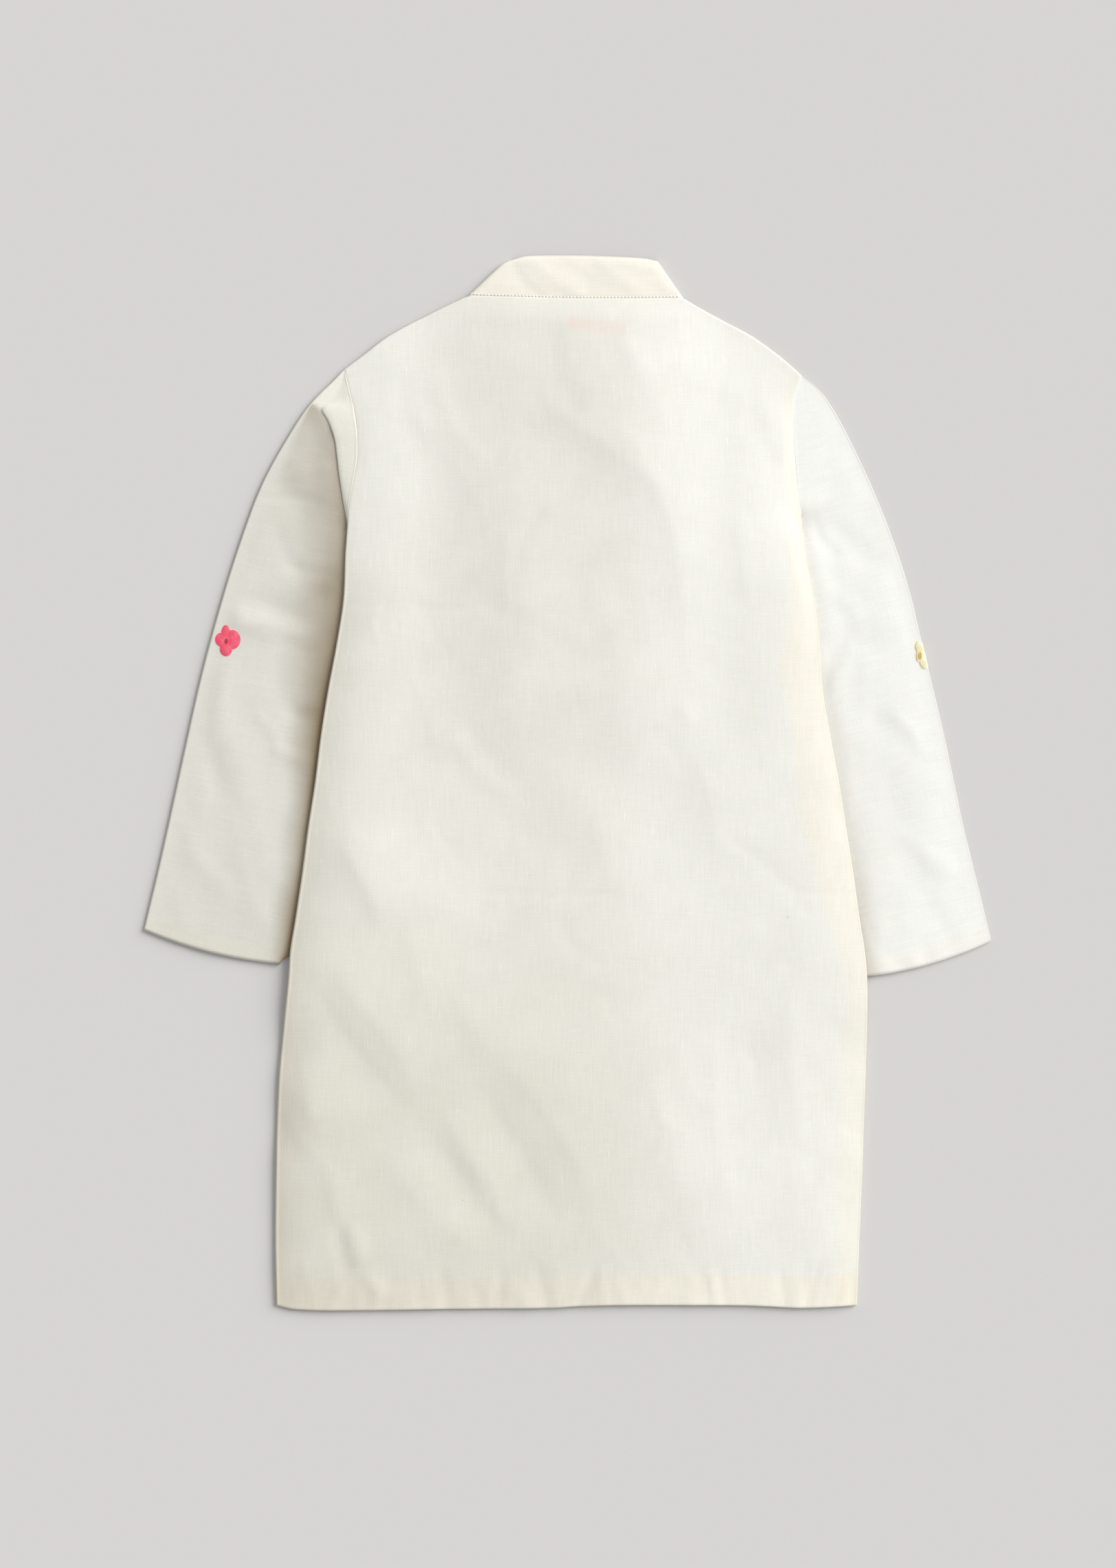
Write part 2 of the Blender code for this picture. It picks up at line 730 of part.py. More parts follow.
def cut_placket_slot(front, cutters):
    """Opening down the centre front that the placket fills."""
    low = PLACKET_TOP - PLACKET_LENGTH
    high = NECK_LINE
    shape = bmesh.new()
    bmesh.ops.create_cube(shape, size=1)
    for vert in shape.verts:
        vert.co.x = (NECK_CENTRE + vert.co.x * PLACKET_WIDTH) * MM
        vert.co.y = (mix(low, high, vert.co.y + 0.5)) * MM
        vert.co.z = vert.co.z * CUTTER_DEPTH * MM
    mesh = bpy.data.meshes.new("placket_slot")
    shape.to_mesh(mesh)
    shape.free()
    cutter = bpy.data.objects.new("placket_slot", mesh)
    cutter.hide_render = True
    cutter.display_type = "WIRE"
    cutters.objects.link(cutter)
    cut = front.modifiers.new("Placket slot", "BOOLEAN")
    cut.operation = "DIFFERENCE"
    cut.solver = "EXACT"
    cut.object = cutter


def build():
    for thing in list(bpy.data.objects):
        bpy.data.objects.remove(thing, do_unlink=True)
    garment = bpy.data.collections.new("kurta")
    cutters = bpy.data.collections.new("kurta cutters")
    for collection in (garment, cutters):
        bpy.context.scene.collection.children.link(collection)

    place(garment, "back", cloth_mesh("back", back_panel()), finish("back cloth", CREAM))
    front = place(garment, "front", cloth_mesh("front", front_panel()), finish("front cloth", CREAM))
    cut_placket_slot(front, cutters)
    for side in ("left", "right"):
        name = "sleeve_" + side
        mesh = cloth_mesh(name, sleeve_rows(side), weld=True)
        place(garment, name, mesh, finish(name + " cloth", CREAM))
    place(garment, "collar", cloth_mesh("collar", collar_rows()), finish("collar cloth", CREAM_DEEP))

    over = strip_rows(PLACKET_WIDTH - 2 * GAP, -GAP, PLACKET_LENGTH - 2 * GAP, 0)
    place(garment, "placket_over", cloth_mesh("placket_over", over), finish("placket cloth", CREAM_DEEP))
    under = strip_rows(UNDER_STRIP_WIDTH, -UNDER_STRIP_INSET, UNDER_STRIP_LENGTH, LAYER)
    place(garment, "placket_under", cloth_mesh("placket_under", under), finish("under placket cloth", CREAM))
    label = cloth_mesh("neck_label", label_rows())
    place(garment, "neck_label", label, finish("label cloth", LABEL_PINK), LABEL_WALL)

    shell = button_mesh()
    shine = finish("button shell", SHELL_WHITE, 0.35)
    for number in range(BUTTON_COUNT):
        button = place(garment, f"button_{number + 1}", shell, shine, 0)
        button.location = (NECK_CENTRE * MM,
                           (PLACKET_TOP - FIRST_BUTTON - number * BUTTON_PITCH) * MM,
                           BUTTON_THICKNESS / 2 * MM)
        edge = button.modifiers.new("Rounded rim", "BEVEL")
        edge.width = BUTTON_RIM * MM
        edge.segments = 1
        edge.limit_method = "ANGLE"


build()
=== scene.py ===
"""Looks of a child's cotton and linen kurta that lies flat with its back up.

X runs across the garment, +Y up to the collar and +Z up from the surface it lies on.
Sizes are in millimetres, and MM turns them into metres. Heights are of the cloth's middle.
"""
import functools
import math

import bmesh
import bpy
import numpy as np
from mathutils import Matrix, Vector
from mathutils.bvhtree import BVHTree


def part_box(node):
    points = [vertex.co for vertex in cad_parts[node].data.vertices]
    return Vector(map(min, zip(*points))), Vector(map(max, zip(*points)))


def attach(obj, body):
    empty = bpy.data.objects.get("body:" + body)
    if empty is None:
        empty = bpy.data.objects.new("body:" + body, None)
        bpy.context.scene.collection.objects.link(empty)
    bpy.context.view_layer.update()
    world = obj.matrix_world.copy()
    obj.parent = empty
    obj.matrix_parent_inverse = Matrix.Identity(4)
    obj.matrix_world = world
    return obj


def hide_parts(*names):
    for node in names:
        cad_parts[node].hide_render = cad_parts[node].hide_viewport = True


MM = 0.001

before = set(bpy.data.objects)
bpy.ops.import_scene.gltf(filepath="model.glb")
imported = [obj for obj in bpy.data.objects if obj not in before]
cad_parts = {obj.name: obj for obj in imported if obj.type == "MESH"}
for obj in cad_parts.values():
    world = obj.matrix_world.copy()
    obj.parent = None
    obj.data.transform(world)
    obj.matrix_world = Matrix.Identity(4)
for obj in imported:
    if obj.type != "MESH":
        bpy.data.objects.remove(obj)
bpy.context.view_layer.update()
SIDE_NAMES = ("left", "right")
FAR = 1000.0


def table(names, *rows):
    """A short table of numbers, read by the names of its columns."""
    return dict(zip(names.split(), np.array(rows, float).T))


def line_of(columns, side):
    """One side's line on the plan, from a table that has it as side_x and side_y."""
    return np.stack((columns[side + "_x"], columns[side + "_y"]), -1)


# Heights of the two layers where the cloth lies flat, and the wall of the cloth
LOW = 0.5
HIGH = 1.8
LAYER = HIGH - LOW
HALF_LAYER = LAYER / 2
GAP = 0.3
CLOTH = 0.6
DOUBLED_CLOTH = 0.9

# Side edges of the body, by height
SIDES = table(
    "y left_x right_x",
    (150, -145.1, 155.0),
    (120, -146.4, 160.8),
    (90, -151.0, 164.5),
    (60, -156.6, 166.6),
    (30, -161.3, 171.6),
    (0, -165.0, 177.2),
    (-30, -169.6, 181.9),
    (-60, -173.5, 186.6),
    (-90, -178.0, 190.8),
    (-110, -181.2, 194.0),
    (-130, -182.6, 195.7),
    (-160, -185.7, 195.6),
    (-190, -188.6, 194.8),
    (-225, -190.2, 193.6),
    (-260, -190.9, 192.4),
    (-300, -191.3, 190.7),
    (-342, -190.4, 189.0),
)

# Armhole seam from shoulder tip to underarm, with the lift of the back and front there
ARMHOLE = table(
    "left_x left_y right_x right_y left_lift right_lift left_front_lift right_front_lift",
    (-145.8, 270.5, 153.2, 266.0, 0.0, 0.0, 0.0, 0.0),
    (-142.5, 256.2, 148.6, 254.5, 0.9, 0.1, 0.0, 0.0),
    (-139.1, 241.8, 147.6, 242.0, 2.0, 0.2, 0.0, 0.0),
    (-137.4, 227.3, 147.6, 229.5, 2.6, 0.3, 0.0, 0.0),
    (-137.5, 212.7, 148.2, 217.0, 2.6, 0.4, 0.0, 0.0),
    (-139.8, 198.2, 149.2, 204.6, 2.6, 0.55, 0.2, 0.1),
    (-142.4, 183.6, 150.5, 192.1, 2.6, 0.75, 0.9, 0.4),
    (-143.6, 168.9, 152.1, 179.6, 2.6, 1.0, 2.6, 1.0),
)
UNDERARM_SHARE = {"left": 1.0, "right": 0.385}
UNDERARM_RUN = 34.0
ARMHOLE_ROWS = len(ARMHOLE["left_x"]) - 1
ARMHOLE_STEP = 14.6

# Shoulder from the neck to its tip
SHOULDER = table(
    "left_x left_y right_x right_y",
    (-65.0, 318.2, 75.6, 316.6),
    (-79.0, 311.8, 88.0, 309.4),
    (-93.2, 304.7, 101.7, 302.0),
    (-106.2, 298.2, 120.2, 292.1),
    (-119.5, 290.4, 136.4, 280.6),
    (-132.3, 280.6, 145.6, 273.0),
    (-145.8, 270.5, 153.2, 266.0),
)

# Hem from left to right
HEM = (
    (-190.4, -342.0),
    (-176.0, -344.7),
    (-138.6, -345.2),
    (-77.0, -344.3),
    (-14.9, -343.7),
    (6.3, -342.6),
    (37.4, -341.8),
    (115.0, -342.0),
    (153.5, -343.6),
    (189.0, -342.0),
)

# Outer fold of each sleeve from shoulder to cuff, and how it joins the body
SLEEVE_EDGE = table(
    "left_x left_y right_x right_y",
    (-150.0, 266.0, 158.0, 262.5),
    (-166.5, 250.4, 169.2, 251.6),
    (-180.4, 231.0, 184.1, 225.9),
    (-200.7, 194.4, 204.3, 181.8),
    (-216.8, 150.8, 221.4, 134.1),
    (-230.2, 106.7, 231.8, 92.5),
    (-242.1, 61.2, 246.2, 32.4),
    (-257.0, -6.5, 258.3, -24.8),
    (-267.3, -53.1, 268.0, -64.8),
    (-277.6, -96.2, 277.4, -103.6),
)
SLEEVE_CAP = {"left": 101.0, "right": 82.0}
SLEEVE_INSIDE = {"left": 291.0, "right": 310.0}
SLEEVE_LEAN = {"left": -13.0, "right": 13.5}
CUFF_BOW = 4.0
SLEEVE_LOFT = {"left": 0.5, "right": 0.2}
LOFT_STEPS = 5
BAND_STEPS = 5
LOWER_ROWS = 16
LOWER_EASE = 1.25
TUCK_UNDER = 8.0
CLEAR_OF_SIDE = -0.6
CLEAR_BESIDE = 3.5
LEAST_BESIDE = 5.0
TUCK_UNDER_START = 9.0
TUCK_UNDER_RUN = 25.0
SIDE_LIFT = 2 * LAYER
SIDE_LIFT_END = {"left": -136.0, "right": -144.0}
SIDE_LIFT_RUN = 45.0

# Edge of the pleat in the top of the left sleeve, from the outer fold to the underarm
PLEAT_EDGE = ((-170.5, 250.2), (-164.2, 246.6), (-160.2, 242.6), (-156.2, 236.2), (-152.1, 224.6),
              (-149.4, 202.1), (-146.7, 184.1), (-143.9, 169.2), (-143.7, 160.0))
PLEAT_UNDERCUT = 0.45
PLEAT_NOSE = 0.4
PLEAT_SHARE = 0.44
SLOPE_WIDTH_AT_TIP = 2.5
SLOPE_WIDTH = 44.0
SLOPE_ROWS = 4

# Neck, collar and half placket
NECK_DIP = 1.2
NECK_DROP = 51.0
NECK_CURVE = 1.4
NECK_STEPS = 12
COLLAR_HEIGHT = 26.3
COLLAR_TOP = {"left": (-37.4, 343.4), "right": (57.4, 341.6)}
COLLAR_CURVE = 2.1
COLLAR_SLANT_ANGLE = {"left": 43.5, "right": 125.0}
COLLAR_INSET = 0.8
PLACKET_WIDTH = 28.0
PLACKET_LENGTH = 180.0
UNDER_STRIP_WIDTH = 23.0
UNDER_STRIP_INSET = 2.0
UNDER_STRIP_LENGTH = 172.0
BUTTON_DIAMETER = 11.0
BUTTON_THICKNESS = 1.6
PLACKET_LIFT = BUTTON_THICKNESS + GAP
# Half width of the flat rise over the placket, and the run around it over which it falls
FRONT_SWELL = (24.0, 34.0)
BACK_SWELL = (34.0, 70.0)
NECK_FALL_RUN = 28.0
NECK_FALL_PAST = 12.0
LABEL_SIZE = (38.0, 8.6)
LABEL_CENTRE = (18.7, 298.0)

# Fall of the back between its edges
BACK_LIFT_SHARE = 0.35
FRONT_LIFT_FLAT = 0.045
FRONT_LIFT_SHARE = 0.10
CROWN = 1.8
CROWN_END_RUN = 55.0
MEAN_LENGTH = 640.0
CREASE_FADE = 10.0

# Widths that show as doubled cloth
HEM_BAND = 20.5
CUFF_BAND = 12.5

# How finely the cloth is divided
BODY_STEP = 2.6
SLEEVE_STEP = 2.4
# Extra lines down a sleeve's grid: the column of its cage and the distance from it
CLOSE_COLUMNS = ((0, 0.3), (0, 0.6), (0, 0.9), (0, 1.2), (0, 1.6), (0, 2.2), (0, 3.0),
                 (2, -1.8), (2, -0.9), (2, -0.35), (5, 0.4), (5, 1.0),
                 (11, -1.9), (11, -1.0), (11, -0.4), (13, 0.4), (13, 1.0), (13, 1.9))
# Distances of the first grid lines from an edge
EDGE_STEPS = np.array((0.0, 0.3, 0.7, 1.2, 1.9, 3.0))

# Folds of the back: a line down each, the widths of its left and right flanks, and its rise
BACK_FOLDS = (
    (((-36, 268), (-8, 246), (28, 220), (58, 195), (73, 153), (78, 99), (84, 49)), 24, 60, 1.5),
    (((-102, 247), (-79, 220), (-57, 184), (-47, 155)), 18, 40, 0.55),
    (((106, 180), (115, 144), (120, 105)), 9, 24, 0.3),
    (((-34, 130), (-27, 108), (-18, 80)), 10, 24, 0.3),
    (((-102, 72), (-87, 36), (-79, 6)), 13, 30, 0.45),
    (((83, 29), (96, -18), (102, -63)), 18, 40, 0.6),
    (((15, -5), (24, -45), (36, -86)), 15, 34, 0.5),
    (((-150, -22), (-139, -52), (-126, -78), (-119, -106)), 14, 40, 1.35),
    (((-162, -104), (-144, -134), (-122, -160), (-107, -183), (-97, -208)), 12, 40, 0.7),
    (((-171, -116), (-158, -146), (-138, -176), (-118, -200), (-100, -218)), 22, 9, -0.62),
    (((-88, -206), (-73, -231), (-60, -256), (-48, -280)), 8, 24, 0.55),
    (((-100, -218), (-78, -246), (-55, -279), (-30, -310)), 20, 8, -0.42),
    (((-126, -238), (-106, -262), (-80, -289), (-48, -312)), 14, 22, 0.5),
    (((-62, -192), (-42, -224), (-20, -260), (-3, -296)), 20, 9, -0.5),
    (((-66, -158), (-38, -186), (-9, -220), (11, -256), (24, -300)), 18, 54, 0.9),
    (((40, -168), (60, -206), (72, -252), (80, -300)), 18, 44, 0.7),
    (((132, -140), (137, -189), (140, -243)), 12, 30, 0.35),
    (((-144, -284), (-140, -302), (-135, -321)), 5, 8, 0.5),
    (((-151, -285), (-147, -306), (-141, -328)), 5, 5, -0.34),
    (((-137, -315), (-126, -333), (-120, -343)), 5, 8, 0.45),
    (((-174, -174), (-171, -207), (-168, -237)), 7, 16, 0.4),
    (((-160, -252), (-153, -275), (-148, -293)), 6, 12, 0.36),
    (((-106, -86), (-100, -117), (-90, -149)), 10, 24, 0.42),
    (((-75, -135), (-61, -162), (-54, -189)), 12, 28, 0.5),
    (((72, 54), (76, 45), (80, 34)), 4, 6, 0.2),
    (((141, 243), (144, 222), (147, 202)), 4, 5, 0.26),
)
# Creases: from start to end, its bend, half width, skew of its far flank, and rise
BACK_CREASES = (
    (-52, -72.5, 33, -73.5, 0.5, 1.6, 1.0, -0.22),
    (150, -72, 186, -73, 0.5, 1.6, 1.0, -0.20),
    (-99.5, 114.8, -62, 113.5, 0.5, 1.3, 1.0, -0.22),
    (-144, 116, -120, 117, 0.5, 2.0, 1.0, -0.20),
    (182, -225.5, 193, -226, 0.3, 1.6, 1.0, -0.35),
    (-84, 262, -58, 214, 6, 6.0, 1.3, 0.20),
    (-10, 292, 6, 246, 4, 6.5, 1.2, -0.20),
    (38, 286, 62, 236, -5, 6.0, 1.2, 0.20),
    (118, 262, 132, 214, 4, 6.0, 1.3, -0.20),
    (20, 120, 34, 40, -6, 9.0, 1.1, 0.22),
    (146, -150, 152, -232, 2, 6.0, 1.2, 0.20),
    (96, -180, 104, -262, 3, 6.0, 1.2, 0.20),
    (100, -324, 102, -340, 0.5, 2.4, 1.0, -0.30),
    (155, -316, 156, -338, 0.5, 2.2, 1.0, -0.30),
)
# Wider folds and narrow creases of the sleeves, in the same way
SLEEVE_FOLDS = {
    "left": (
        (-205, 118, -180, 110, 0, 8, 1.0, -0.7),
        (-214, 106, -180, 97, 0, 8, 1.0, 0.9),
        (-190, 205, -176, 180, 0, 9, 1.0, -0.6),
        (-228, 60, -205, -40, 0, 12, 1.0, 0.6),
    ),
    "right": (
        (164, 80, 190, 92, 0, 9, 1.0, -0.7),
        (170, 168, 192, 150, 0, 9, 1.0, -0.6),
        (205, 120, 232, 0, 0, 14, 1.0, 0.25),
        (215, -20, 232, -80, 0, 12, 1.0, -0.3),
    ),
}
SLEEVE_CREASES = {
    "left": (
        (-196, 214, -158, 226, 3, 4.0, 1.4, -0.45),
        (-200, 200, -160, 206, 2, 4.5, 0.8, 0.40),
        (-206, 186, -166, 184, -2, 4.0, 1.3, -0.40),
        (-176, 140, -152, 136, 1, 4.0, 1.2, -0.55),
        (-182, 92, -158, 96, 1, 4.5, 1.2, -0.60),
        (-178, 46, -164, 46, 1, 4.0, 1.2, -0.60),
        (-186, 20, -168, 14, 1, 4.0, 1.2, 0.40),
        (-238, 30, -214, -20, 4, 7.0, 1.2, -0.30),
        (-252, -30, -226, -66, 3, 6.0, 1.2, 0.30),
        (-214, -52, -196, -92, 2, 7.0, 1.2, 0.35),
    ),
    "right": (
        (157, 178, 172, 152, 2, 4.0, 1.3, -0.50),
        (162, 140, 186, 116, 3, 5.0, 1.2, 0.18),
        (170, 62, 184, 88, 2, 4.0, 1.2, 0.40),
        (204, 40, 226, 22, 2, 6.0, 1.2, -0.26),
        (222, -36, 250, -56, 2, 6.0, 1.2, 0.28),
        (198, -96, 214, -118, 2, 5.0, 1.2, -0.30),
    ),
}
# Creases across the back half of the collar
COLLAR_CREASES = (
    (-35, 338, -18, 318, 2, 3.4, 1.3, -0.26),
    (-22, 341, 6, 321, 2, 4.6, 1.3, 0.24),
    (-2, 341, 26, 322, 2, 4.2, 1.2, -0.16),
    (22, 340, 40, 326, 1, 4.0, 1.2, 0.16),
)


def linear(red, green, blue):
    """A colour in screen values from 0 to 255, as the light values that shaders take."""
    return tuple(((value / 255 + 0.055) / 1.055) ** 2.4 for value in (red, green, blue))


# Tones of the cloth where it lies flat, and the tones of painted shade where it is deepest
CLOTH_WHITE = linear(233.5, 232.5, 225.5)
BODY_PAINTED_SHADE = linear(194, 188, 172)
SLEEVE_PAINTED_SHADE = linear(136, 117, 86)
SIDE_TINT = (1.025, 0.995, 0.945)
HEM_TINT = (1.035, 0.995, 0.925)
# Each sleeve's flat tone: the left one is painted darker than the right as shade, the light coming from the
# right
SLEEVE_TONE = {"left": linear(215, 213.5, 205), "right": linear(238, 238, 233.5)}
# The pleat in the left sleeve, in a lighter tone than the left sleeve's painted shade, and a darker tone
# painted as shade on the right sleeve's fold that faces the light, so its rim does not shine
FOLD_TONE = {"left": linear(232, 229.5, 219), "right": linear(199, 198, 194)}
COLLAR_TONE = linear(238, 233, 222)
LABEL_PINK = linear(240, 196, 184)
FLECK_BROWN = linear(120, 96, 70)
SHELL = linear(232, 226, 212)
SHELL_DEEP = linear(214, 206, 190)
THREAD = linear(250, 247, 236)
THREAD_ROSE = linear(250, 104, 128)
THREAD_ROSE_DEEP = linear(236, 82, 108)
THREAD_ROSE_HEART = linear(186, 52, 76)
THREAD_STRAW = linear(254, 247, 214)
THREAD_STRAW_DEEP = linear(250, 238, 188)
THREAD_GOLD = linear(228, 194, 112)
FLOOR = linear(208, 206, 204.5)
ROOM_LIGHT = (1.0, 0.995, 0.985)


def ease(t):
    """Smooth step from 0 at t = 0 to 1 at t = 1."""
    t = np.clip(t, 0.0, 1.0)
    return t * t * (3 - 2 * t)


def mix(a, b, t):
    return a + (b - a) * t


def bell(distance, width):
    """1 at no distance, falling off to both sides like a bell."""
    return np.exp(-(distance / width) ** 2)


def running(points, axis):
    """How far each point of a grid lies from the grid's first row or column, along the cloth."""
    steps = np.linalg.norm(np.diff(points, axis=axis), axis=2)
    return np.insert(np.cumsum(steps, axis=axis), 0, 0.0, axis=axis)


def curve(points, tangents, knots, at):
    """Cubic curve through rows of numbers with their tangents, read at places on the knots."""
    gaps = np.diff(knots)[:, None]
    i = np.clip(np.searchsorted(knots, at, side="right") - 1, 0, len(gaps) - 1)
    t = ((at - np.asarray(knots)[i]) / gaps[i, 0])[:, None]
    start = (2 * t ** 3 - 3 * t ** 2 + 1) * points[i] + (t ** 3 - 2 * t ** 2 + t) * gaps[i] * tangents[i]
    end = (3 * t ** 2 - 2 * t ** 3) * points[i + 1] + (t ** 3 - t ** 2) * gaps[i] * tangents[i + 1]
    return start + end


def through(points, knots, at):
    """A round curve through rows of numbers with uneven knots."""
    points = np.asarray(points, float)
    gaps = np.diff(knots)[:, None]
    slopes = np.diff(points, axis=0) / gaps
    tangents = np.empty_like(points)
    tangents[0], tangents[-1] = slopes[0], slopes[-1]
    tangents[1:-1] = (slopes[:-1] * gaps[1:] + slopes[1:] * gaps[:-1]) / (gaps[1:] + gaps[:-1])
    return curve(points, tangents, knots, at)


def within(points, knots, at):
    """A curve through rows of numbers that never swings out beyond them."""
    gaps = np.diff(knots)[:, None]
    slopes = np.diff(points, axis=0) / gaps
    tangents = np.zeros_like(points)
    tangents[0], tangents[-1] = slopes[0], slopes[-1]
    same = slopes[:-1] * slopes[1:] > 0
    before = np.where(same, slopes[:-1], 1.0)
    after = np.where(same, slopes[1:], 1.0)
    first, second = 2 * gaps[1:] + gaps[:-1], gaps[1:] + 2 * gaps[:-1]
    tangents[1:-1] = np.where(same, (first + second) / (first / before + second / after), 0.0)
    return curve(points, tangents, knots, at)


def by_number(points, at):
    """The same curve with its rows as the knots: place 2.5 lies between the third and fourth."""
    return through(points, np.arange(len(points), dtype=float), np.asarray(at, float))


class Route:
    """A rounded line that gives the points at distances along it."""

    def __init__(self, points, steps=24):
        last = len(points) - 1
        self.line = by_number(points, np.linspace(0, last, last * steps + 1))
        runs = np.linalg.norm(np.diff(self.line, axis=0), axis=1)
        self.at = np.concatenate(([0.0], np.cumsum(runs)))
        self.length = self.at[-1]

    def points(self, distances):
        return np.stack([np.interp(distances, self.at, self.line[:, k]) for k in (0, 1)], -1)


def graded(length, step):
    """Distances from 0 to length, close together near both ends."""
    edge = EDGE_STEPS[-1]
    count = max(round((length - 2 * edge) / step), 2)
    middle = np.linspace(edge, length - edge, count + 1)[1:-1]
    return np.concatenate((EDGE_STEPS, middle, length - EDGE_STEPS[::-1]))


def shifted(line, distances):
    """The line moved to its left, looking along it."""
    ahead = np.concatenate((line[1:], line[-1:]))
    behind = np.concatenate((line[:1], line[:-1]))
    way = (ahead - behind) / np.linalg.norm(ahead - behind, axis=1)[:, None]
    return line + np.stack((-way[:, 1], way[:, 0]), -1) * np.broadcast_to(distances, len(line))[:, None]


# How far past its line's end a fold fades, as a share of its width
FOLD_END = 1.5
RIDGE_END = 0.8


def fold_height(x, y, folds):
    """Sum of soft ridges and troughs, each a bent line whose two flanks may differ."""
    height = np.zeros_like(x)
    for x0, y0, x1, y1, bend, width, skew, rise in folds:
        run = math.dist((x0, y0), (x1, y1))
        way = ((x1 - x0) / run, (y1 - y0) / run)
        along = (x - x0) * way[0] + (y - y0) * way[1]
        share = np.clip(along / run, 0, 1)
        off = (x - x0) * way[1] - (y - y0) * way[0] - 4 * bend * share * (1 - share)
        flank = np.where(off > 0, width * skew, width)
        past = np.maximum(np.maximum(-along, along - run), 0)
        height += rise * np.exp(-(off / flank) ** 2 - (past / (FOLD_END * width)) ** 2)
    return height


TAPER_SHARE = 0.34
TAPER_LEAST = 0.06
CRISP_TOP = 0.11
FOLD_REACH = 3.0


def ridge_height(x, y, folds):
    """Sum of folds along bent lines that run down, each with a left and a right flank."""
    total = np.zeros_like(x)
    for line, left, right, rise in folds:
        route = Route(line).line
        ways = np.gradient(route, axis=0)
        ways /= np.linalg.norm(ways, axis=1)[:, None]
        reach = FOLD_REACH * max(left, right)
        low, high = route.min(axis=0) - reach, route.max(axis=0) + reach
        near = (x > low[0]) & (x < high[0]) & (y > low[1]) & (y < high[1])
        across = x[near][:, None] - route[:, 0]
        up = y[near][:, None] - route[:, 1]
        nearest = (across ** 2 + up ** 2).argmin(axis=1)
        row = np.arange(len(nearest))
        across, up, way = across[row, nearest], up[row, nearest], ways[nearest]
        off = way[:, 1] * across - way[:, 0] * up
        along = way[:, 0] * across + way[:, 1] * up
        share = nearest / (len(route) - 1)
        taper = 1.0
        for from_end in (share, 1 - share):
            taper = taper * mix(TAPER_LEAST, 1, ease(from_end / TAPER_SHARE))
        crisp, wide = (left, right) if rise > 0 else (right, left)
        crisp_side = off > 0 if rise > 0 else off < 0
        flank = np.where(crisp_side, np.hypot(off / crisp, CRISP_TOP) - CRISP_TOP, (off / wide) ** 2)
        total[near] += rise * taper * np.exp(-flank - (along / (RIDGE_END * crisp)) ** 2)
    return total


WAVES = 9
WAVE_SPREAD = (0.6, 1.7)
WAVE_SUM = 4


def uneven(x, y, size, seed):
    """Soft irregular waves between about -1 and 1, whose usual length is size."""
    chance = np.random.default_rng(seed)
    total = np.zeros_like(x)
    for number in range(WAVES):
        angle = chance.uniform(0, 2 * math.pi)
        phase = chance.uniform(0, 2 * math.pi)
        wave = size * chance.uniform(*WAVE_SPREAD)
        total += np.sin(2 * math.pi * (x * math.cos(angle) + y * math.sin(angle)) / wave + phase)
    return total / WAVE_SUM


def rolled(inset, depth, radius):
    """Drop of the cloth where it turns down at an edge, by distance in from the edge."""
    return depth * turned_down(inset, radius)


def turned_down(inset, radius):
    """Quarter round from 0 at the radius to 1 at the edge."""
    return 1 - np.sqrt(1 - np.clip(1 - inset / radius, 0, 1) ** 2)


NECK_LEFT, NECK_RIGHT = (line_of(SHOULDER, side)[0] for side in SIDE_NAMES)
NECK_CENTRE = (NECK_LEFT[0] + NECK_RIGHT[0]) / 2
NECK_HALF = (NECK_RIGHT[0] - NECK_LEFT[0]) / 2
NECK_LINE = (NECK_LEFT[1] + NECK_RIGHT[1]) / 2
PLACKET_TOP = NECK_LINE - NECK_DROP


def back_neck(steps):
    """Seam of the collar on the back, from left to right."""
    t = np.linspace(0, 1, steps + 1)
    line = mix(NECK_LEFT, NECK_RIGHT, t[:, None])
    line[:, 1] -= NECK_DIP * np.sin(math.pi * t)
    return line


def front_neck(steps):
    """Seam of the collar on the front, from left to right."""
    t = np.linspace(0, 1, steps + 1)
    x = NECK_CENTRE - NECK_HALF * np.cos(math.pi * t)
    y = mix(NECK_LEFT[1], NECK_RIGHT[1], t) - NECK_DROP * np.sin(math.pi * t) ** NECK_CURVE
    return np.stack((x, y), -1)


def side_seam(side):
    """The body's side from the underarm to the hem."""
    side_line = np.stack((SIDES[side + "_x"], SIDES["y"]), -1)
    return Route(np.concatenate((line_of(ARMHOLE, side)[-1:], side_line)))


def armhole_lifts(side):
    """Lifts of the back and the front along the armhole."""
    return np.stack((ARMHOLE[side + "_lift"], ARMHOLE[side + "_front_lift"]), -1)


def side_lift(side, y):
    """Lift of the body's edge over the sleeve that lies beneath it."""
    underarm = ARMHOLE[side + "_y"][-1]
    start = mix(UNDERARM_SHARE[side], 1.0, ease((underarm - y) / UNDERARM_RUN))
    return SIDE_LIFT * start * ease(1 - (SIDE_LIFT_END[side] - y) / SIDE_LIFT_RUN)


def placket_swell(x, y, swell):
    """1 over the placket, easing to 0 around it."""
    flat, run = swell
    across = ease(1 - (abs(x - NECK_CENTRE) - flat) / run)
    down = ease(1 - (PLACKET_TOP - PLACKET_LENGTH - flat / 2 - y) / run)
    return across * down


def front_height(x, y):
    """Height of the front where it lies flat and where it goes over the placket."""
    return LOW + PLACKET_LIFT * placket_swell(x, y, FRONT_SWELL)


def back_rise(x, y):
    """Rise of the back over the placket and the front, which ends below the neck."""
    neck = ease((NECK_LINE + NECK_FALL_PAST - y) / NECK_FALL_RUN)
    return (PLACKET_LIFT + LAYER) * placket_swell(x, y, BACK_SWELL) * neck


SOFT_LIFT_ROWS = 26
SOFT_LIFT_RUN = 34.0


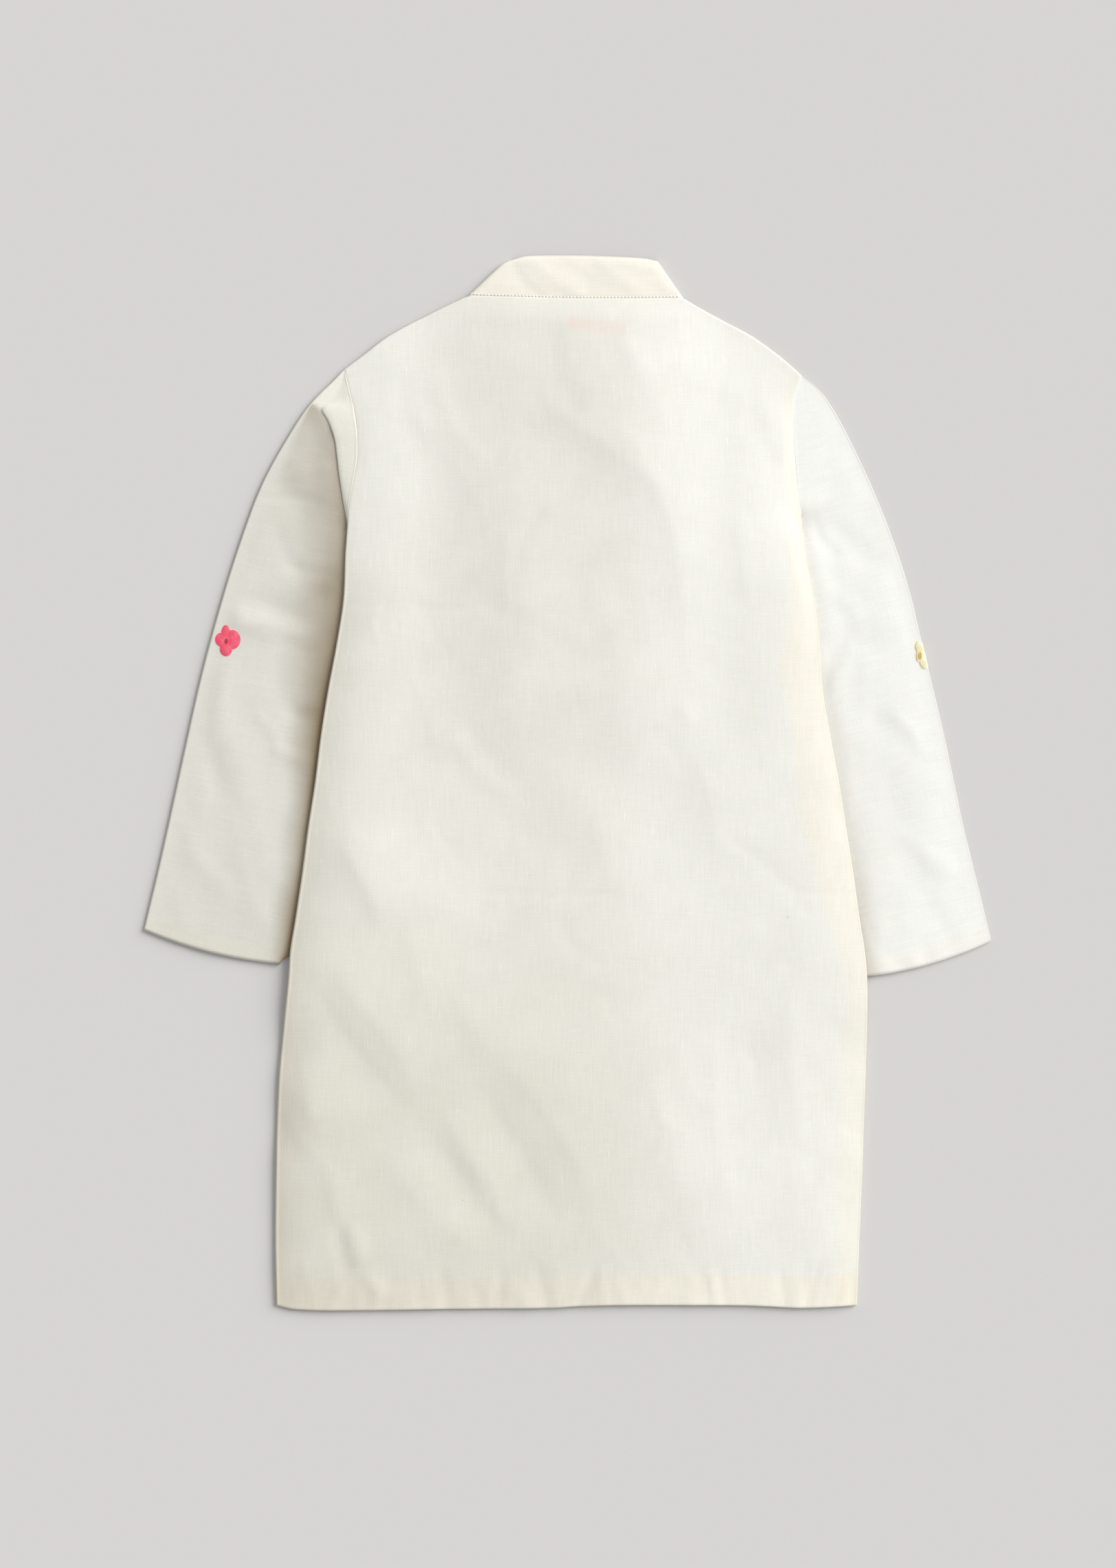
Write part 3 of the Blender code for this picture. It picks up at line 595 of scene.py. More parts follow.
class BodyPanel:
    """Plan of the back or the front as a grid from hem to shoulder, with its insets and lifts."""

    def __init__(self, neck, step):
        shoulders = {}
        for side in SIDE_NAMES:
            route = Route(line_of(SHOULDER, side))
            shoulders[side] = route.points(route.length - graded(route.length, step))
        top = np.concatenate((shoulders["left"][:-1], neck, shoulders["right"][::-1][1:]))
        neck_start = len(shoulders["left"]) - 1
        self.neck_columns = slice(neck_start, neck_start + len(neck))
        across = (top[:, 0] - top[0, 0]) / (top[-1, 0] - top[0, 0])

        armhole = ARMHOLE_ROWS * ARMHOLE_STEP
        seams = {side: side_seam(side) for side in SIDE_NAMES}
        below = seams["left"].length
        down = graded(armhole + below, step)
        on_armhole = down <= armhole
        places = down[on_armhole] / ARMHOLE_STEP
        share = (down[~on_armhole] - armhole) / below
        edges, self.lifts, self.front_lifts = {}, {}, {}
        for side in SIDE_NAMES:
            lower = seams[side].points(share * seams[side].length)
            edges[side] = np.concatenate((by_number(line_of(ARMHOLE, side), places), lower))
            lifts = by_number(armhole_lifts(side), places)
            lower_lifts = side_lift(side, lower[:, 1])
            self.lifts[side] = np.concatenate((lifts[:, 0], lower_lifts))[::-1, None]
            self.front_lifts[side] = np.concatenate((lifts[:, 1], lower_lifts))[::-1, None]
        hem = Route(HEM)
        bottom = hem.points(across * hem.length)
        u = across[None, :, None]
        v = (down / down[-1])[:, None, None]
        blend = mix(top[None], bottom[None], v) + mix(edges["left"][:, None], edges["right"][:, None], u)
        corners = mix(mix(top[0], top[-1], u), mix(bottom[0], bottom[-1], u), v)
        plan = (blend - corners)[::-1]
        self.x, self.y = plan[..., 0], plan[..., 1]
        self.u = np.broadcast_to(u[..., 0], self.x.shape)
        self.v = np.broadcast_to(v[::-1, :, 0], self.x.shape)
        self.on_armhole = on_armhole[::-1]
        self.past_armhole = np.clip(down - armhole, 0, None)[::-1, None]
        from_left = running(plan, axis=1)
        self.inset = {"left": from_left, "right": from_left[:, -1:] - from_left}
        self.from_side = np.minimum(self.inset["left"], self.inset["right"])
        self.from_hem = running(plan, axis=0)
        self.from_top = self.from_hem[-1:] - self.from_hem

    def soft_lift(self, side):
        """Lift of the back's side, evened out along the side where it is away from the seam."""
        exact = self.lifts[side][:, 0]
        window = np.hanning(2 * SOFT_LIFT_ROWS + 1)
        padded = np.pad(exact, SOFT_LIFT_ROWS, mode="edge")
        soft = np.convolve(padded, window / window.sum(), mode="valid")
        return mix(exact[:, None], soft[:, None], ease(self.inset[side] / SOFT_LIFT_RUN))


# Ranges for the pulls of a hem: their start and pitch along it, half width, lean, and length
# as a share of the reach
PUCKER_START = (3, 12)
PUCKER_PITCH = (6, 17)
PUCKER_WIDTH = (1.8, 4.2)
PUCKER_LEAN = (-0.35, 0.55)
PUCKER_LENGTH = (0.8, 1.7)
PUCKER_FLAT = 0.55


def hem_puckers(along, inset, reach, seed, size):
    """Short soft pulls across a stitched hem, unevenly spaced along it."""
    chance = np.random.default_rng(seed)
    height = np.zeros_like(along)
    place = chance.uniform(*PUCKER_START)
    while place < along.max():
        width = chance.uniform(*PUCKER_WIDTH)
        lean = chance.uniform(*PUCKER_LEAN)
        long = reach * chance.uniform(*PUCKER_LENGTH)
        rise = size * chance.uniform(-1.0, 1.0)
        fade = ease(1 - (inset - PUCKER_FLAT * long) / ((1 - PUCKER_FLAT) * long))
        height += rise * bell(along - place - lean * inset, width) * fade
        place += chance.uniform(*PUCKER_PITCH)
    return height


# Ranges for faint creases, and for their angle and rise the mean and the spread
CREASE_ANGLE = (-72, 22)
CREASE_LENGTH = (18, 70)
CREASE_BEND = (-4, 4)
CREASE_WIDTH = (2.6, 7.5)
CREASE_SKEW = (0.7, 1.5)
CREASE_RISE = (0, 0.11)


def small_creases(x, y, low, high, count, seed):
    """Many faint short creases, most of them steep, over a box."""
    chance = np.random.default_rng(seed)
    rows = []
    for number in range(count):
        x0 = chance.uniform(low[0], high[0])
        y0 = chance.uniform(low[1], high[1])
        angle = math.radians(chance.normal(*CREASE_ANGLE))
        long = chance.uniform(*CREASE_LENGTH)
        end = (x0 + long * math.cos(angle), y0 + long * math.sin(angle))
        rows.append((x0, y0, *end, chance.uniform(*CREASE_BEND), chance.uniform(*CREASE_WIDTH),
                     chance.uniform(*CREASE_SKEW), chance.normal(*CREASE_RISE)))
    return fold_height(x, y, rows)


def placed(name, data):
    """A new object that shows the mesh, curve, light or camera."""
    thing = bpy.data.objects.new(name, data)
    bpy.context.scene.collection.objects.link(thing)
    return thing


def mesh_of(shape, name):
    """The bmesh as a new mesh, after which the bmesh is gone."""
    mesh = bpy.data.meshes.new(name)
    shape.to_mesh(mesh)
    shape.free()
    return mesh


WELD = 0.01 * MM


def grid_object(name, points, grain, edges=None, weld=False, **masks):
    """An object from a grid of points, with its grain and edge distances as two UV maps.

    A mask is a value from 0 to 1 for each point, which the cloth's material reads by its name.
    """
    rows, columns = points.shape[:2]
    shape = bmesh.new()
    bmesh.ops.create_grid(shape, x_segments=columns - 1, y_segments=rows - 1, size=1)
    mesh = mesh_of(shape, name)
    mesh.vertices.foreach_set("co", (points * MM).astype(np.float32).ravel())
    corners = np.empty(len(mesh.loops), int)
    mesh.loops.foreach_get("vertex_index", corners)
    if edges is None:
        edges = np.full((rows, columns, 2), FAR)
    for layer, values in (("grain", grain), ("edges", edges)):
        flat = (values * MM).reshape(-1, 2)[corners]
        mesh.uv_layers.new(name=layer).uv.foreach_set("vector", flat.astype(np.float32).ravel())
    plain = np.zeros((rows, columns))
    for mask, values in {"shade": plain, "doubled": plain, **masks}.items():
        layer = mesh.attributes.new(mask, "FLOAT", "POINT")
        layer.data.foreach_set("value", values.astype(np.float32).ravel())
    if weld:
        shape = bmesh.new()
        shape.from_mesh(mesh)
        bmesh.ops.remove_doubles(shape, verts=shape.verts, dist=WELD)
        shape.to_mesh(mesh)
        shape.free()
    mesh.update()
    mesh.shade_smooth()
    return placed(name, mesh)


def grain_of(x, y, lean=0.0):
    """Place on the cloth, across and along the warp, when the warp leans from +Y."""
    turn = math.radians(lean)
    return np.stack((x * math.cos(turn) + y * math.sin(turn), y * math.cos(turn) - x * math.sin(turn)), -1)


def make_final(thing):
    """Makes the thing's modifiers part of its mesh."""
    graph = bpy.context.evaluated_depsgraph_get()
    mesh = bpy.data.meshes.new_from_object(thing.evaluated_get(graph))
    thing.modifiers.clear()
    thing.data = mesh


def thicken(thing, wall):
    """Gives the open sheet its two faces and rims."""
    modifier = thing.modifiers.new("Wall", "SOLIDIFY")
    modifier.thickness = wall * MM
    modifier.offset = 0.0
    modifier.use_rim = True
    make_final(thing)


def area_of(grid):
    """Area of a grid's cloth, in square metres."""
    a = grid[1:, 1:] - grid[:-1, :-1]
    b = grid[1:, :-1] - grid[:-1, 1:]
    return float(np.linalg.norm(np.cross(a, b), axis=-1).sum() / 2) * MM * MM


def plan_area(grid):
    """Area of a grid on the plan, in square metres."""
    return area_of(grid * (1, 1, 0))


def wear(thing, material, node):
    """Finishes a piece that stands for a CAD node."""
    thing.data.materials.clear()
    thing.data.materials.append(material)
    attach(thing, "root")
    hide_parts(node)


# Back and front

BACK_NECK_STEPS = 56
FRONT_NECK_STEPS = 48
FRONT_STEP = 1.35 * BODY_STEP
CROWN_RUN = 52.0
FOLD_SCALE = 1.5
FOLD_FADE = 12.0
FOLD_END_FADE = 14.0
PILLOW = {"left": 0.9, "right": 0.5}
PILLOW_RUN = 32.0
PILLOW_ON_ARMHOLE = 0.3
PILLOW_START = 70.0
EDGE_LIFT = 0.2
EDGE_LIFT_RUN = 34.0
EDGE_WAVE = 0.25
EDGE_WAVE_RUN = 12.0
ROLL_RADIUS = {"left": 0.5, "right": 0.45}
ROLL_START = 8.0
EDGE_RIDGE = {"left": 0.22, "right": 0.0}
EDGE_RIDGE_AT = 0.9
EDGE_RIDGE_WIDTH = 0.5
TOP_ROLL = (0.8, 1.0)
HEM_ROLL = (0.7, 1.2)
SEAM_DIP = 0.09
FRONT_SEAM_RISE = 0.2


def domed(inset, run):
    """Rise from an edge that is steepest at the edge and levels out at its run."""
    return 1 - (1 - np.clip(inset / run, 0, 1)) ** 2


# Fades of the small creases and of the soft unevenness below the shoulders, and what the latter adds
SMALL_FADE = 14
UNEVEN_FADE = 20
BACK_UNEVEN = 0.08


def back_surface():
    """The back's plan with its insets, and its points with crown, folds, pillowed sides and turned edges."""
    panel = BodyPanel(back_neck(BACK_NECK_STEPS), BODY_STEP)
    x, y = panel.x, panel.y
    height = np.full_like(x, HIGH)
    height += panel.soft_lift("left") * ease(1 - panel.u / BACK_LIFT_SHARE)
    height += panel.soft_lift("right") * ease(1 - (1 - panel.u) / BACK_LIFT_SHARE)
    end_inset = np.minimum(panel.v, 1 - panel.v) * MEAN_LENGTH
    height += CROWN * domed(panel.from_side, CROWN_RUN) * ease(end_inset / CROWN_END_RUN)
    faded = ease(panel.from_side / FOLD_FADE) * ease(end_inset / FOLD_END_FADE)
    height += FOLD_SCALE * ridge_height(x, y, BACK_FOLDS) * faded
    near = ease(panel.from_side / CREASE_FADE)
    height += fold_height(x, y, BACK_CREASES) * near
    fine = small_creases(x, y, low=(-190, -340), high=(190, 300), count=90, seed=5)
    height += fine * near * ease(panel.from_top / SMALL_FADE)
    height += BACK_UNEVEN * uneven(x, y, size=46, seed=3) * near * ease(panel.from_top / UNEVEN_FADE)
    height += back_rise(x, y)
    height += hem_puckers(panel.inset["left"], panel.from_hem, reach=24, seed=21, size=0.4) * near

    side_start = ease(panel.past_armhole / PILLOW_START)
    for side, inset in panel.inset.items():
        over = side_lift(side, y) / SIDE_LIFT
        wave = EDGE_WAVE * uneven(y, y * 0.3, size=42, seed=11) * bell(inset, EDGE_WAVE_RUN)
        height += (EDGE_LIFT * over * bell(inset, EDGE_LIFT_RUN) + wave) * side_start
        height += PILLOW[side] * domed(inset, PILLOW_RUN) * mix(PILLOW_ON_ARMHOLE, 1.0, side_start)
        height += EDGE_RIDGE[side] * bell(inset - EDGE_RIDGE_AT, EDGE_RIDGE_WIDTH) * side_start
        edge = front_height(x, y) + panel.front_lifts[side] + CLOTH
        drop = np.clip(height - edge, 0, None) * turned_down(inset, ROLL_RADIUS[side])
        height -= mix(SEAM_DIP * bell(inset, 1.0), drop, ease(panel.past_armhole / ROLL_START))
    on_neck = np.zeros(x.shape, bool)
    on_neck[:, panel.neck_columns] = True
    height -= np.where(on_neck, SEAM_DIP * bell(panel.from_top, 1.2), rolled(panel.from_top, *TOP_ROLL))
    height -= rolled(panel.from_hem, *HEM_ROLL)
    return panel, np.stack((x, y, height), -1)


def soft_box(x, y, centre, size, blur):
    """1 inside a box on the plan, fading at its edges."""
    across = ease((size[0] / 2 - abs(x - centre[0])) / blur + 0.5)
    down = ease((size[1] / 2 - abs(y - centre[1])) / blur + 0.5)
    return across * down


# Creamier bands along the body's sides
SIDE_BAND = {
    "left": table(
        "y width strength",
        (-345, 7.0, 0.8), (-230, 8.0, 0.8), (-120, 6.0, 0.6), (20, 6.0, 0.5), (165, 5.0, 0.5),
        (300, 4.0, 0.2),
    ),
    "right": table(
        "y width strength",
        (-345, 14.0, 0.6), (-230, 15.0, 0.6), (-140, 14.0, 0.8), (-95, 19.0, 1.0), (-50, 28.0, 1.0),
        (17, 31.0, 1.0), (85, 27.0, 1.0), (125, 20.0, 0.9), (165, 9.0, 0.8), (250, 7.0, 0.7), (300, 3.0, 0.2),
    ),
}
BAND_BLUR = 6.0
BAND_UNEVEN = 0.12


def side_bands(panel):
    """Where the seam allowances and the cloth beneath make the body's sides creamier."""
    doubled = np.zeros_like(panel.x)
    wander = 1 + BAND_UNEVEN * uneven(panel.y, panel.y * 0.2, size=70, seed=14)
    for side, inset in panel.inset.items():
        band = SIDE_BAND[side]
        width = np.interp(panel.y, band["y"], band["width"]) * wander
        strength = np.interp(panel.y, band["y"], band["strength"])
        doubled = np.maximum(doubled, strength * ease((width - inset) / BAND_BLUR + 0.5))
    return doubled


# Painted shade on the back: strength, X from which it grows leftwards, its run, and the same for Y downwards
BODY_SHADES = (
    (0.25, 105, 120, FAR, 1),
    (0.13, 130, 150, -80, 150),
    (0.07, -60, 100, 20, 140),
    (0.08, -60, 100, -300, 40),
    (0.06, FAR, 1, -60, 120),
    (-0.20, -40, 80, 110, -90),
)
# Painted shade along the back's left side, away from the light
LEFT_SIDE_SHADE = 0.20
LEFT_SIDE_RUN = 26.0
LEFT_SIDE_CURVE = 1.5
# Shade that keeps the rims that face the light from shining, and the width of a rim
RIM_SHADE = 0.7
SHOULDER_RIM_SHADE = 0.5
RIM_WIDTH = 1.6
SHOULDER_RIM_WIDTH = 1.4
# Where these begin and their run: the left side's and the right rim's by Y, the shoulder's by X
LEFT_SIDE_FROM = (150, 90)
RIM_FROM = (190, 20)
SHOULDER_RIM_FROM = (70, 16)
# Broad and small clouds of tone
SHADE_CLOUDS = (0.035, 0.02)


def body_shade(panel):
    """How far the back's tone goes towards its painted shade tone: deeper to the left, away from the light,
    low down, and on the rims that face the light.
    """
    x, y = panel.x, panel.y
    broad, small = SHADE_CLOUDS
    shade = broad * uneven(x, y, size=80, seed=7) + small * uneven(x, y, size=34, seed=9)
    for strength, from_x, run_x, from_y, run_y in BODY_SHADES:
        shade += strength * ease((from_x - x) / run_x) * ease((from_y - y) / run_y)
    left_side = np.clip(1 - panel.inset["left"] / LEFT_SIDE_RUN, 0, 1) ** LEFT_SIDE_CURVE
    right_rim = ease(1 - panel.inset["right"] / RIM_WIDTH)
    shoulder_rim = ease(1 - panel.from_top / SHOULDER_RIM_WIDTH)
    shade += LEFT_SIDE_SHADE * left_side * ease((LEFT_SIDE_FROM[0] - y) / LEFT_SIDE_FROM[1])
    shade += RIM_SHADE * right_rim * ease((RIM_FROM[0] - y) / RIM_FROM[1])
    shade += SHOULDER_RIM_SHADE * shoulder_rim * ease((x - SHOULDER_RIM_FROM[0]) / SHOULDER_RIM_FROM[1])
    return np.clip(shade, 0, 1)


LABEL_SLANT = 0.14
LABEL_BLUR = 5.0
# How strongly the label shows on the whole, and how unevenly
LABEL_STRENGTH = (0.75, 0.35)


def make_back():
    panel, points = back_surface()
    x, y = panel.x, panel.y
    label = soft_box(x, y + LABEL_SLANT * (x - LABEL_CENTRE[0]), LABEL_CENTRE, LABEL_SIZE, LABEL_BLUR)
    label *= LABEL_STRENGTH[0] + LABEL_STRENGTH[1] * uneven(x, y, size=16, seed=8)
    edges = np.stack((panel.from_side, panel.from_hem), -1)
    back = grid_object("back_cloth", points, grain_of(x, y), edges,
                       label=label, shade=body_shade(panel), doubled=side_bands(panel))
    thicken(back, CLOTH)
    side_tone = tuple(value * tint for value, tint in zip(CLOTH_WHITE, SIDE_TINT))
    material = cloth_material("back cloth", CLOTH_WHITE, side_tone, hem=HEM_BAND, label=True)
    wear(back, material, "back")
    plan_area(points)


FRONT_UNEVEN = 0.1
FRONT_FADE = 20
FRONT_SEAM_WIDTH = 1.3


def make_front():
    panel = BodyPanel(front_neck(FRONT_NECK_STEPS), FRONT_STEP)
    x, y = slotted(panel.x, panel.y)
    height = front_height(x, y)
    for side, share in (("left", panel.u), ("right", 1 - panel.u)):
        height += panel.front_lifts[side] * ease(1 - (share - FRONT_LIFT_FLAT) / FRONT_LIFT_SHARE)
    seam = FRONT_SEAM_RISE * bell(panel.from_side, FRONT_SEAM_WIDTH)
    height += np.where(panel.on_armhole[:, None], 0, seam)
    height += FRONT_UNEVEN * np.abs(uneven(x, y, size=60, seed=17)) * ease(panel.from_side / FRONT_FADE)
    points = np.stack((x, y, height), -1)
    edges = np.stack((panel.from_side, panel.from_hem), -1)
    front = grid_object("front_cloth", points, grain_of(x, y), edges)
    open_placket(front)
    thicken(front, CLOTH)
    wear(front, cloth_material("front cloth", CLOTH_WHITE, hem=HEM_BAND), "front")
    plan_area(points)


# Grid lines beside the middle and above the foot that move to the slot, and how soon the others follow
SLOT_COLUMNS = (16, 9)
SLOT_ROWS = (9, 8)
SLOT_FOLLOW = {"rows": 3.0, "columns": 2.5}


def slotted(x, y):
    """Moves the nearest lines of the front's grid onto the edges of the placket's slot."""
    low = PLACKET_TOP - PLACKET_LENGTH
    rows, columns = np.arange(len(y)), np.arange(x.shape[1])
    middle = abs(x[-1] - NECK_CENTRE).argmin()
    foot = abs(y[:, middle] - low).argmin()
    beside = ease((SLOT_COLUMNS[0] - abs(columns - middle)) / SLOT_COLUMNS[1])
    y = y + (low - y[foot]) * beside * bell(rows - foot, SLOT_FOLLOW["rows"])[:, None]
    above = ease((rows - foot + SLOT_ROWS[0]) / SLOT_ROWS[1])[:, None]
    for way in (-1, 1):
        edge = NECK_CENTRE + way * PLACKET_WIDTH / 2
        line = abs(x[foot:].mean(axis=0) - edge).argmin()
        x = x + (edge - x[:, line:line + 1]) * above * bell(columns - line, SLOT_FOLLOW["columns"])
    return x, y


def open_placket(front):
    """Cuts the slot at the centre front that the placket strips fill."""
    shape = bmesh.new()
    shape.from_mesh(front.data)
    low = PLACKET_TOP - PLACKET_LENGTH
    inside = []
    for face in shape.faces:
        middle = face.calc_center_median() / MM
        if abs(middle.x - NECK_CENTRE) < PLACKET_WIDTH / 2 and middle.y > low:
            inside.append(face)
    bmesh.ops.delete(shape, geom=inside, context="FACES")
    shape.to_mesh(front.data)
    shape.free()


# Sleeves

# Column of the cage at the outer fold
OUTER_COLUMN = BAND_STEPS + 1 + LOFT_STEPS + 1
# How far each sleeve still goes in under the body at its cuff
LAST_UNDER = {"left": -4.0, "right": 6.0}
CUFF_NOTCH = {"left": 5.5, "right": 0.0}
CUFF_NOTCH_HEIGHT = 11.0
CUFF_NOTCH_WIDTH = 5.0
CUFF_ROLL = (0.2, 1.4)
OUTER_FADE = 12.0
CREASE_SEEDS = {"left": 31, "right": 32}
CUFF_SEEDS = {"left": 51, "right": 52}
LOFT_RUN = 34.0
SLEEVE_RISE = {"left": 0.6, "right": 0.25}
SLEEVE_RISE_RUN = 11.0
SEAM_RIDGE = {"left": 0.19, "right": 0.08}
SEAM_RIDGE_AT = 0.75
SEAM_RIDGE_WIDTH = 0.4
CAP_RINGS = 2 * ARMHOLE_ROWS
SEAM_GAP = -0.15
TIP_WIDTH = 1.4
LEAST_PLEAT = 0.8
BAND_SHARE = 0.86


def crossing(start, end, line):
    """Distance from start at which the straight way to end meets a line on the plan."""
    way = (end - start) / np.linalg.norm(end - start)
    for a, b in zip(np.array(line), np.array(line)[1:]):
        side = b - a
        turn = way[0] * side[1] - way[1] * side[0]
        gap = a - start
        distance = (gap[0] * side[1] - gap[1] * side[0]) / turn
        share = (gap[0] * way[1] - gap[1] * way[0]) / turn
        if 0 <= share <= 1 and distance > 0:
            return distance
    return None


# Armhole places over which the pleat forms and the plain band narrows: start and run
PLEAT_FORMS = (0.3, 2.4)
BAND_NARROWS = (4.4, 2.6)
BAND_LEAST = 0.5
# Most of a narrow band or a low lift that one bend of the pleat takes up
BEND_SHARE = 0.3
PLEAT_SHOULDER = 0.5


def upper_band(place, fold, seam_lift):
    """Distance from the armhole seam and height of the cloth next to it."""
    width = mix(SLOPE_WIDTH_AT_TIP, SLOPE_WIDTH, float(ease(place / SLOPE_ROWS)))
    formed = 0.0
    if fold is not None:
        width = max(fold, LEAST_PLEAT)
        formed = float(ease((place - PLEAT_FORMS[0]) / PLEAT_FORMS[1]))
    else:
        width *= mix(1.0, BAND_LEAST, float(ease((place - BAND_NARROWS[0]) / BAND_NARROWS[1])))
    top = HIGH + seam_lift
    edge = HIGH + PLEAT_SHARE * seam_lift
    cut = min(PLEAT_UNDERCUT, BEND_SHARE * width)
    nose = min(PLEAT_NOSE, BEND_SHARE * seam_lift)
    steps = np.linspace(0, 1, BAND_STEPS + 1)
    plain = np.stack((width * steps, top - seam_lift * ease(steps)), -1)
    pleated = np.array((
        (0.0, top),
        (0.5 * width, mix(top, edge, 0.4)),
        (width - min(PLEAT_SHOULDER, BEND_SHARE * width), edge),
        (width, edge - nose),
        (width - 0.6 * cut, mix(edge - nose, HIGH, 0.6)),
        (width - cut, HIGH),
    ))
    return mix(plain, pleated, formed).tolist()


def sleeve_profile(place, fold, length, lifts, under):
    """One ring of a sleeve: distance from its inner end and height, round from the back."""
    back_lift, front_lift = lifts
    flat_end = length - HALF_LAYER
    middle = (LOW + HIGH) / 2
    if under is None:
        profile = upper_band(place, fold, back_lift)
        widest = BAND_SHARE * length
        reach = max(at for at, height in profile)
        if reach > widest:
            profile = [(at * widest / reach, height) for at, height in profile]
        width = profile[-1][0]
        low_end = [(0.65 * width, LOW), (0.3 * width, LOW + 0.5 * front_lift), (0.0, LOW + front_lift)]
    else:
        reach = max(under + CLEAR_BESIDE, LEAST_BESIDE)
        profile = [(-HALF_LAYER, middle)]
        profile += [(reach * k / (BAND_STEPS - 1), HIGH) for k in range(BAND_STEPS)]
        low_end = [(reach, LOW), (0.0, LOW), (-HALF_LAYER, middle)]
    last = profile[-1][0]
    begin = last + min(SLOPE_WIDTH_AT_TIP, 0.25 * (flat_end - last))
    for k in range(LOFT_STEPS + 1):
        profile.append((mix(begin, flat_end, k / LOFT_STEPS), HIGH))
    profile.append((length, middle))
    for k in range(LOFT_STEPS - 1, 0, -1):
        profile.append((mix(begin, flat_end, k / (LOFT_STEPS - 1)), LOW))
    return profile + low_end


def sleeve_cage(side):
    """Coarse rings of the flattened sleeve from shoulder tip to cuff, and each ring's armhole place."""
    turn = 1 if side == "left" else -1
    caps = np.linspace(0, ARMHOLE_ROWS, CAP_RINGS + 1)
    seam = by_number(line_of(ARMHOLE, side), caps)
    lifts = by_number(armhole_lifts(side), caps)
    edge = Route(line_of(SLEEVE_EDGE, side))
    cap = SLEEVE_CAP[side]
    lower = np.arange(1, LOWER_ROWS + 1) / LOWER_ROWS
    outer = edge.points(np.concatenate((cap * caps / ARMHOLE_ROWS, mix(cap, edge.length, lower))))
    down_side = SLEEVE_INSIDE[side] * lower ** LOWER_EASE
    under = mix(-CLEAR_OF_SIDE, TUCK_UNDER, ease((down_side - TUCK_UNDER_START) / TUCK_UNDER_RUN))
    under[-1] = LAST_UNDER[side]
    inner = np.concatenate((shifted(seam, -SEAM_GAP * turn),
                            shifted(side_seam(side).points(down_side), turn * under)))
    outer[0] = inner[0] + (outer[0] - inner[0]) * TIP_WIDTH / math.dist(outer[0], inner[0])
    rings = []
    for j, (start, end) in enumerate(zip(inner, outer)):
        length = math.dist(start, end) - min(LOW, 0.3 * TIP_WIDTH)
        across = (end - start) / math.dist(start, end)
        share = max(j - CAP_RINGS, 0) / LOWER_ROWS
        if j <= CAP_RINGS:
            fold = crossing(start, end, PLEAT_EDGE) if side == "left" else None
            profile = sleeve_profile(caps[j], fold, length, lifts[j], None)
        else:
            profile = sleeve_profile(caps[-1], None, length, (0.0, 0.0), under[j - CAP_RINGS - 1])
        ring = []
        for at, height in profile:
            bow = 4 * (at / length) * (1 - at / length) * CUFF_BOW * share ** 2
            x = start[0] + across[0] * at - turn * across[1] * bow
            y = start[1] + across[1] * at + turn * across[0] * bow
            ring.append((x, y, height))
        rings.append(ring)
    places = np.concatenate((caps, ARMHOLE_ROWS + np.arange(1, LOWER_ROWS + 1)))
    return np.array(rings), places


def divided(knots, step):
    """Places between knots, in even steps no longer than step within each gap."""
    places = []
    for a, b in zip(knots, knots[1:]):
        count = max(math.ceil((b - a) / step), 2)
        places.append(np.linspace(a, b, count + 1)[:-1])
    return np.concatenate(places + [knots[-1:]])


def refined(cage, row_step, column_step, extra=(), rows_at=()):
    """The smooth surface through a cage, with the cage column and row of each fine one.

    Extra columns are given as a cage column and a distance from it.
    """
    runs = np.linalg.norm(np.diff(cage, axis=1), axis=2)
    mean = np.concatenate(([0.0], np.cumsum(runs.mean(axis=0))))
    places = divided(mean, column_step)
    if extra:
        places = np.union1d(places, [mean[knot] + distance for knot, distance in extra])
    number = np.interp(places, mean, np.arange(len(mean)))
    rings = []
    for ring, run in zip(cage, runs):
        knots = np.concatenate(([0.0], np.cumsum(np.maximum(run, 0.001))))
        rings.append(within(ring, knots, np.interp(number, np.arange(len(knots)), knots)))
    rings = np.array(rings)
    steps = np.linalg.norm(np.diff(cage, axis=0), axis=2).mean(axis=1)
    knots = np.concatenate(([0.0], np.cumsum(steps)))
    rows = np.union1d(divided(knots, row_step), rows_at)
    fine = through(rings.reshape(len(rings), -1), knots, rows).reshape(len(rows), len(places), 3)
    return fine, number, np.interp(rows, knots, np.arange(len(knots)))


# The upper face ends this far in front of the outer fold, and fades over a run, in cage columns
UPPER_END = 0.9
UPPER_RUN = 1.2
# Run below the armhole over which the sleeve gets free of the body, in rows
FREE_RUN = 1.2


class SleeveGrid:
    """Fine grid of a sleeve's cloth all round, with where each of its points lies."""

    def __init__(self, side):
        cage, places = sleeve_cage(side)
        self.side = side
        self.turn = 1 if side == "left" else -1
        self.points, self.number, row = refined(cage, SLEEVE_STEP, SLEEVE_STEP, CLOSE_COLUMNS)
        self.row = np.interp(row, np.arange(len(places)), places)[:, None]
        self.x, self.y = self.points[..., 0], self.points[..., 1]
        self.upper = ease((OUTER_COLUMN - UPPER_END - self.number) / UPPER_RUN)[None]
        self.from_seam = running(self.points, axis=1)
        outer = int(abs(self.number - OUTER_COLUMN).argmin())
        self.from_outer = abs(self.from_seam - self.from_seam[:, outer:outer + 1])
        from_tip = running(self.points, axis=0)
        self.from_cuff = from_tip[-1:] - from_tip
        body_side = np.interp(self.y, SIDES["y"][::-1], SIDES[side + "_x"][::-1])
        self.beside = (body_side - self.x) * self.turn
        self.clear = np.clip(self.beside, 0, None)
        self.below = ease((self.row - ARMHOLE_ROWS) / FREE_RUN)


# What the finest unevenness adds, and the small creases
SLEEVE_UNEVEN = 0.12
SLEEVE_SMALL = 0.8
